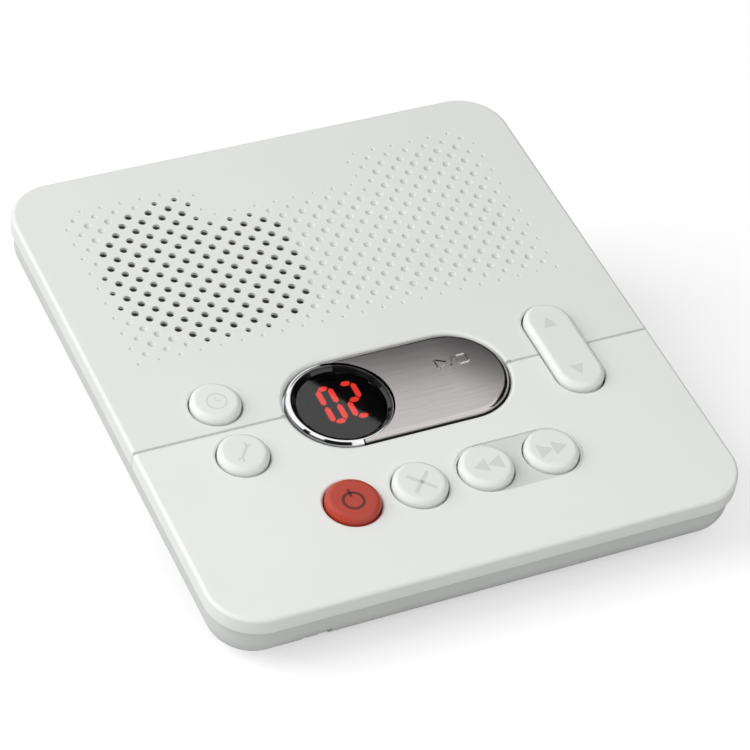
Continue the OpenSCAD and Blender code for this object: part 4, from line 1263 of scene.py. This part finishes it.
@dataclass
class Inside:
    """What the closed case holds; the speaker's cone shows through the drilled holes."""

    bench: Bench
    finishes: dict[Finish, tuple[str, ...]] = field(default_factory=lambda: {
        Finish.FOAM: ("speaker_gasket",),
        Finish.STEEL: (
            "speaker_frame", "speaker_clamps", "speaker_screws", "key_board_screws",
            "main_board_screws", "power_pin", "crystal", "microphone",
        ),
        Finish.PAPER: ("speaker_cone",),
        Finish.FERRITE: ("speaker_magnet",),
        Finish.LEAD: ("speaker_leads",),
        Finish.BOARD: ("key_board", "main_board"),
        Finish.BLACK: (
            "switch_bodies", "line_socket", "telephone_socket", "power_socket",
            "processor_chip", "memory_chip", "regulator",
        ),
        Finish.BRASS: ("socket_contacts",),
        Finish.TAPE: ("line_transformer",),
        Finish.RELAY: ("line_relay",),
        Finish.SLEEVE: ("capacitors",),
        Finish.RIBBON: ("ribbon_cable",),
        Finish.RUBBER: ("microphone_boot",),
    })

    def dress(self) -> None:
        """Dresses every inner node."""
        for finish, names in self.finishes.items():
            self.bench.finish(finish, *names)


# ------------------------------------------------------------------ camera and light


@dataclass
class Camera:
    """The photograph's camera, worked out from the grille's lattice.

    Attributes:
        eye: Its place in the slab's frame, in millimetres.
        right: Its right-hand direction in the slab's frame.
        up: Its upward direction.
        lens: Focal length, in millimetres.
        sensor: Width of its frame, in millimetres.
        clip: Least and greatest distance that it sees, in metres.
    """

    eye: Place = (-289.0, -478.5, 551.6)
    right: Place = (0.9039, -0.4103, 0.1209)
    up: Place = (0.2189, 0.6865, 0.6934)
    lens: float = 151.41
    sensor: float = 36.0
    clip: Spot = (0.01, 20.0)

    def build(self, frame: SlabFrame) -> None:
        """Makes the camera the scene's own.

        Its three axes are made square to each other, starting from the right-hand one.

        Args:
            frame: The slab's frame.
        """
        right = frame.turn @ np.array(self.right)
        up = frame.turn @ np.array(self.up)
        right /= np.linalg.norm(right)
        up -= right * (up @ right)
        up /= np.linalg.norm(up)
        pose = np.eye(4)
        pose[:3] = np.column_stack(
            [right, up, np.cross(right, up), frame.place(np.array(self.eye))]
        )
        data = bpy.data.cameras.new("camera")
        data.lens, data.sensor_width = self.lens, self.sensor
        data.clip_start, data.clip_end = self.clip
        camera = bpy.data.objects.new("camera", data)
        camera.matrix_world = Matrix(pose.tolist())
        bpy.context.scene.collection.objects.link(camera)
        bpy.context.scene.camera = camera


@dataclass(frozen=True)
class Lamp:
    """A soft rectangular studio lamp that points at the machine and leaves no highlight.

    Attributes:
        name: Its name.
        place: Where it stands, in metres.
        size: Its two sides, in metres.
        power: Its power, in watts.
        aim: The point that it faces.
    """

    name: str
    place: Place
    size: Spot
    power: float
    aim: Place = (0.0, 0.0, 0.03)

    def build(self) -> None:
        """Adds the lamp to the scene."""
        data = bpy.data.lights.new(self.name, "AREA")
        data.shape = "RECTANGLE"
        data.size, data.size_y = self.size
        data.energy = self.power
        lamp = bpy.data.objects.new(self.name, data)
        lamp.location = self.place
        direction = Vector(self.aim) - Vector(self.place)
        lamp.rotation_euler = direction.to_track_quat("-Z", "Y").to_euler()
        lamp.visible_glossy = False
        bpy.context.scene.collection.objects.link(lamp)


@dataclass
class Cards:
    """The softboxes and dark flats that the shiny pieces mirror; only glossy rays see them.

    A straight edge between bright and dark crosses the window slantwise. Those two cards
    stand square to the mirrored line of sight. A card in front lights the plate's front
    edge, one behind lights the ring's rear crest, and dark flags break the ring's shine
    into arcs.

    Attributes:
        window_z: Height of the window's face, in slab millimetres.
        edge: Two points of the window, x and y, that the mirrored edge passes.
        bright_side: A point of the window on the bright side of the edge.
        distance: How far from the window the cards stand, in millimetres.
        reach: Half the length of each card along the edge.
        bright_width: Width of the softbox.
        dark_width: Width of the dark flat.
        bright: Radiance of the softboxes.
        dark: Radiance of the dark flats.
        front: Low and high corner of the front card, in slab millimetres.
        rear: The same of the rear card.
        ring_at: Centre of the ring.
        flags: First and last angle round the ring of the arcs that stay dark, in degrees.
        flag_slope: Least and greatest slope of the ring's side that a flag darkens.
        flag_distance: How far from the ring the flags stand.
        flag_count: Points along each side of a flag.
    """

    window_z: float = -0.9
    edge: tuple[Spot, Spot] = ((-19.7, -8.0), (-8.5, -27.0))
    bright_side: Spot = (-22.0, -24.0)
    distance: float = 1200.0
    reach: float = 3000.0
    bright_width: float = 2500.0
    dark_width: float = 1500.0
    bright: float = 1.35
    dark: float = 0.01
    front: tuple[Place, Place] = ((-300.0, -1100.0, 0.0), (1400.0, -1100.0, 1400.0))
    rear: tuple[Place, Place] = ((-300.0, 1100.0, 50.0), (400.0, 1100.0, 700.0))
    ring_at: Spot = RING_AT
    flags: tuple[Spot, ...] = ((203.0, 211.0), (228.0, 257.0))
    flag_slope: Spot = (14.0, 60.0)
    flag_distance: float = 500.0
    flag_count: int = 9

    def build(self, frame: SlabFrame, eye: Place) -> None:
        """Adds the cards.

        A ray from the eye's mirror image through a window point p meets the card's plane,
        whose normal is the mirrored line of sight, at p + (p - eye') t.

        Args:
            frame: The slab's frame.
            eye: The camera's place in slab millimetres.
        """
        mirrored = np.array([eye[0], eye[1], 2 * self.window_z - eye[2]])
        middle = np.array([*np.mean(self.edge, axis=0), self.window_z])
        normal = (middle - mirrored) / np.linalg.norm(middle - mirrored)

        def on_plane(point: Spot) -> np.ndarray:
            """Where the mirrored ray through a window point meets the card's plane.

            Args:
                point: The window point, x and y.

            Returns:
                The meeting point.
            """
            start = np.array([*point, self.window_z])
            ray = start - mirrored
            return start + ray * ((self.distance - normal @ (start - middle)) / (normal @ ray))

        first, last = (on_plane(point) for point in self.edge)
        along = (last - first) / np.linalg.norm(last - first) * self.reach
        out = on_plane(self.bright_side) - first
        out -= along * (out @ along) / self.reach ** 2
        out /= np.linalg.norm(out)
        centre = (first + last) / 2
        ends = np.array([centre - along, centre + along])
        for name, shift, level in (
            ("softbox_card", out * self.bright_width, self.bright),
            ("dark_card", out * -self.dark_width, self.dark),
        ):
            points = np.concatenate([ends, ends[::-1] + shift])
            self._card(name, frame.place(points), [(0, 1, 2, 3)], level)
        for name, (low, high) in (("front_card", self.front), ("rear_card", self.rear)):
            points = np.array([low, (high[0], low[1], low[2]), high, (low[0], high[1], high[2])])
            self._card(name, frame.place(points), [(0, 1, 2, 3)], self.bright)
        for index, arc in enumerate(self.flags):
            self._flag(f"dark_flag_{index}", arc, frame, np.array(eye))

    def _flag(self, name: str, arc: Spot, frame: SlabFrame, eye: np.ndarray) -> None:
        """A dark flat that the ring's side mirrors over an arc.

        The side's normal at angle a and slope s is n = (sin s cos a, sin s sin a, cos s),
        and with v towards the eye the mirrored ray is 2 (n . v) n - v.

        Args:
            name: The flag's name.
            arc: First and last angle of the arc, in degrees.
            frame: The slab's frame.
            eye: The camera's place in slab millimetres.
        """
        count = self.flag_count
        start = np.array([*self.ring_at, 0.0])
        view = (eye - start) / np.linalg.norm(eye - start)
        a, slope = np.meshgrid(np.radians(np.linspace(*arc, count)),
                               np.radians(np.linspace(*self.flag_slope, count)))
        n = np.stack([np.sin(slope) * np.cos(a), np.sin(slope) * np.sin(a), np.cos(slope)],
                     axis=-1)
        ray = 2 * (n @ view)[..., None] * n - view
        points = (start + ray * self.flag_distance).reshape(-1, 3)
        index = np.arange(count * count).reshape(count, count)
        faces = np.stack(
            [index[:-1, :-1], index[:-1, 1:], index[1:, 1:], index[1:, :-1]], axis=-1
        ).reshape(-1, 4)
        self._card(name, frame.place(points), faces.tolist(), self.dark)

    @staticmethod
    def _card(name: str, points: np.ndarray, faces: list, level: float) -> None:
        """An even emitting card that only glossy rays see.

        Args:
            name: The card's name.
            points: Row points in metres.
            faces: Corner indices of each face.
            level: Its radiance.
        """
        card = new_piece(name, points, faces)
        tree = Tree(bpy.data.materials.new(name))
        tree.set(Base_Color=NO_COLOUR, Emission_Color=WHITE, Emission_Strength=level,
                 Specular_IOR_Level=0.0)
        card.data.materials.append(tree.owner)
        card.visible_camera = False
        card.visible_diffuse = False
        card.visible_transmission = False
        card.visible_shadow = False


@dataclass
class Studio:
    """Pale floor, even world light and soft lamps.

    Attributes:
        frame: The slab's frame.
        eye: The camera's place in slab millimetres.
        lamps: The lamps.
        world_level: Radiance of the world.
        mirror_level: Its radiance in mirror-like reflections.
        floor_size: Side of the floor, in metres.
        floor_colour: Colour of the floor.
        floor_glow: What the camera sees of the floor on top of its lit colour.
        floor_roughness: Roughness of the floor.
        floor_specular: Strength of its shine.
    """

    frame: SlabFrame
    eye: Place
    lamps: tuple[Lamp, ...] = (
        Lamp("key_lamp", (-1.25, 0.32, 0.98), (1.3, 1.3), 20.5),
        Lamp("fill_lamp", (-0.2, -1.3, 1.0), (0.9, 0.9), 8.0),
    )
    world_level: float = 0.37
    mirror_level: float = 0.12
    floor_size: float = 12.0
    floor_colour: str = "#CDCDCD"
    floor_glow: float = 0.5
    floor_roughness: float = 0.9
    floor_specular: float = 0.1

    def build(self) -> None:
        """Builds the floor, the world, the lamps and the cards."""
        self._floor()
        self._world()
        for lamp in self.lamps:
            lamp.build()
        Cards().build(self.frame, self.eye)

    def _floor(self) -> None:
        """A pale floor that shows white to the camera and keeps the machine's shadow."""
        half = self.floor_size / 2
        points = np.array([[-half, -half, 0], [half, -half, 0], [half, half, 0], [-half, half, 0]])
        floor = new_piece("floor", points, [(0, 1, 2, 3)])
        tree = Tree(bpy.data.materials.new("painted_floor"))
        glow = tree.add("ShaderNodeMath", "Value", {"operation": "MULTIPLY"},
                        Value=tree.add("ShaderNodeLightPath", "Is Camera Ray"),
                        Value_001=self.floor_glow)
        tree.link(glow, "Emission Strength")
        tree.set(Base_Color=linear(self.floor_colour), Roughness=self.floor_roughness,
                 Specular_IOR_Level=self.floor_specular, Emission_Color=WHITE)
        floor.data.materials.append(tree.owner)

    def _world(self) -> None:
        """Even grey light, darker in mirror-like reflections, and white past the floor."""
        tree = Tree(bpy.data.worlds.new("studio"), "BACKGROUND")
        unseen = tree.add("ShaderNodeMapRange", "Result", To_Min=self.world_level,
                          To_Max=self.mirror_level,
                          Value=tree.add("ShaderNodeLightPath", "Is Glossy Ray"))
        level = tree.add("ShaderNodeMapRange", "Result", To_Min=unseen, To_Max=1.0,
                         Value=tree.add("ShaderNodeLightPath", "Is Camera Ray"))
        tree.link(level, "Strength")
        tree.set(Color=WHITE)
        bpy.context.scene.world = tree.owner


def main() -> None:
    """Builds the scene in order."""
    logging.basicConfig(level=logging.INFO, format="%(name)s: %(message)s")
    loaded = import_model()
    frame = SlabFrame.from_joints(loaded["joints"], ROCKER_PIVOT)
    bench = Bench(frame, loaded["nodes"], Finishes())
    camera = Camera()
    camera.build(frame)
    steps: tuple[tuple[str, Callable[[], None]], ...] = (
        ("case", Case(bench).dress),
        ("inside", Inside(bench).dress),
        ("keys", Keys(bench).build),
        ("oval field", OvalField(bench).build),
        ("studio", Studio(frame, camera.eye).build),
    )
    for name, step in steps:
        LOG.info("building the %s", name)
        step()
    bpy.context.scene.view_settings.view_transform = "Standard"


if __name__ == "__main__":
    main()
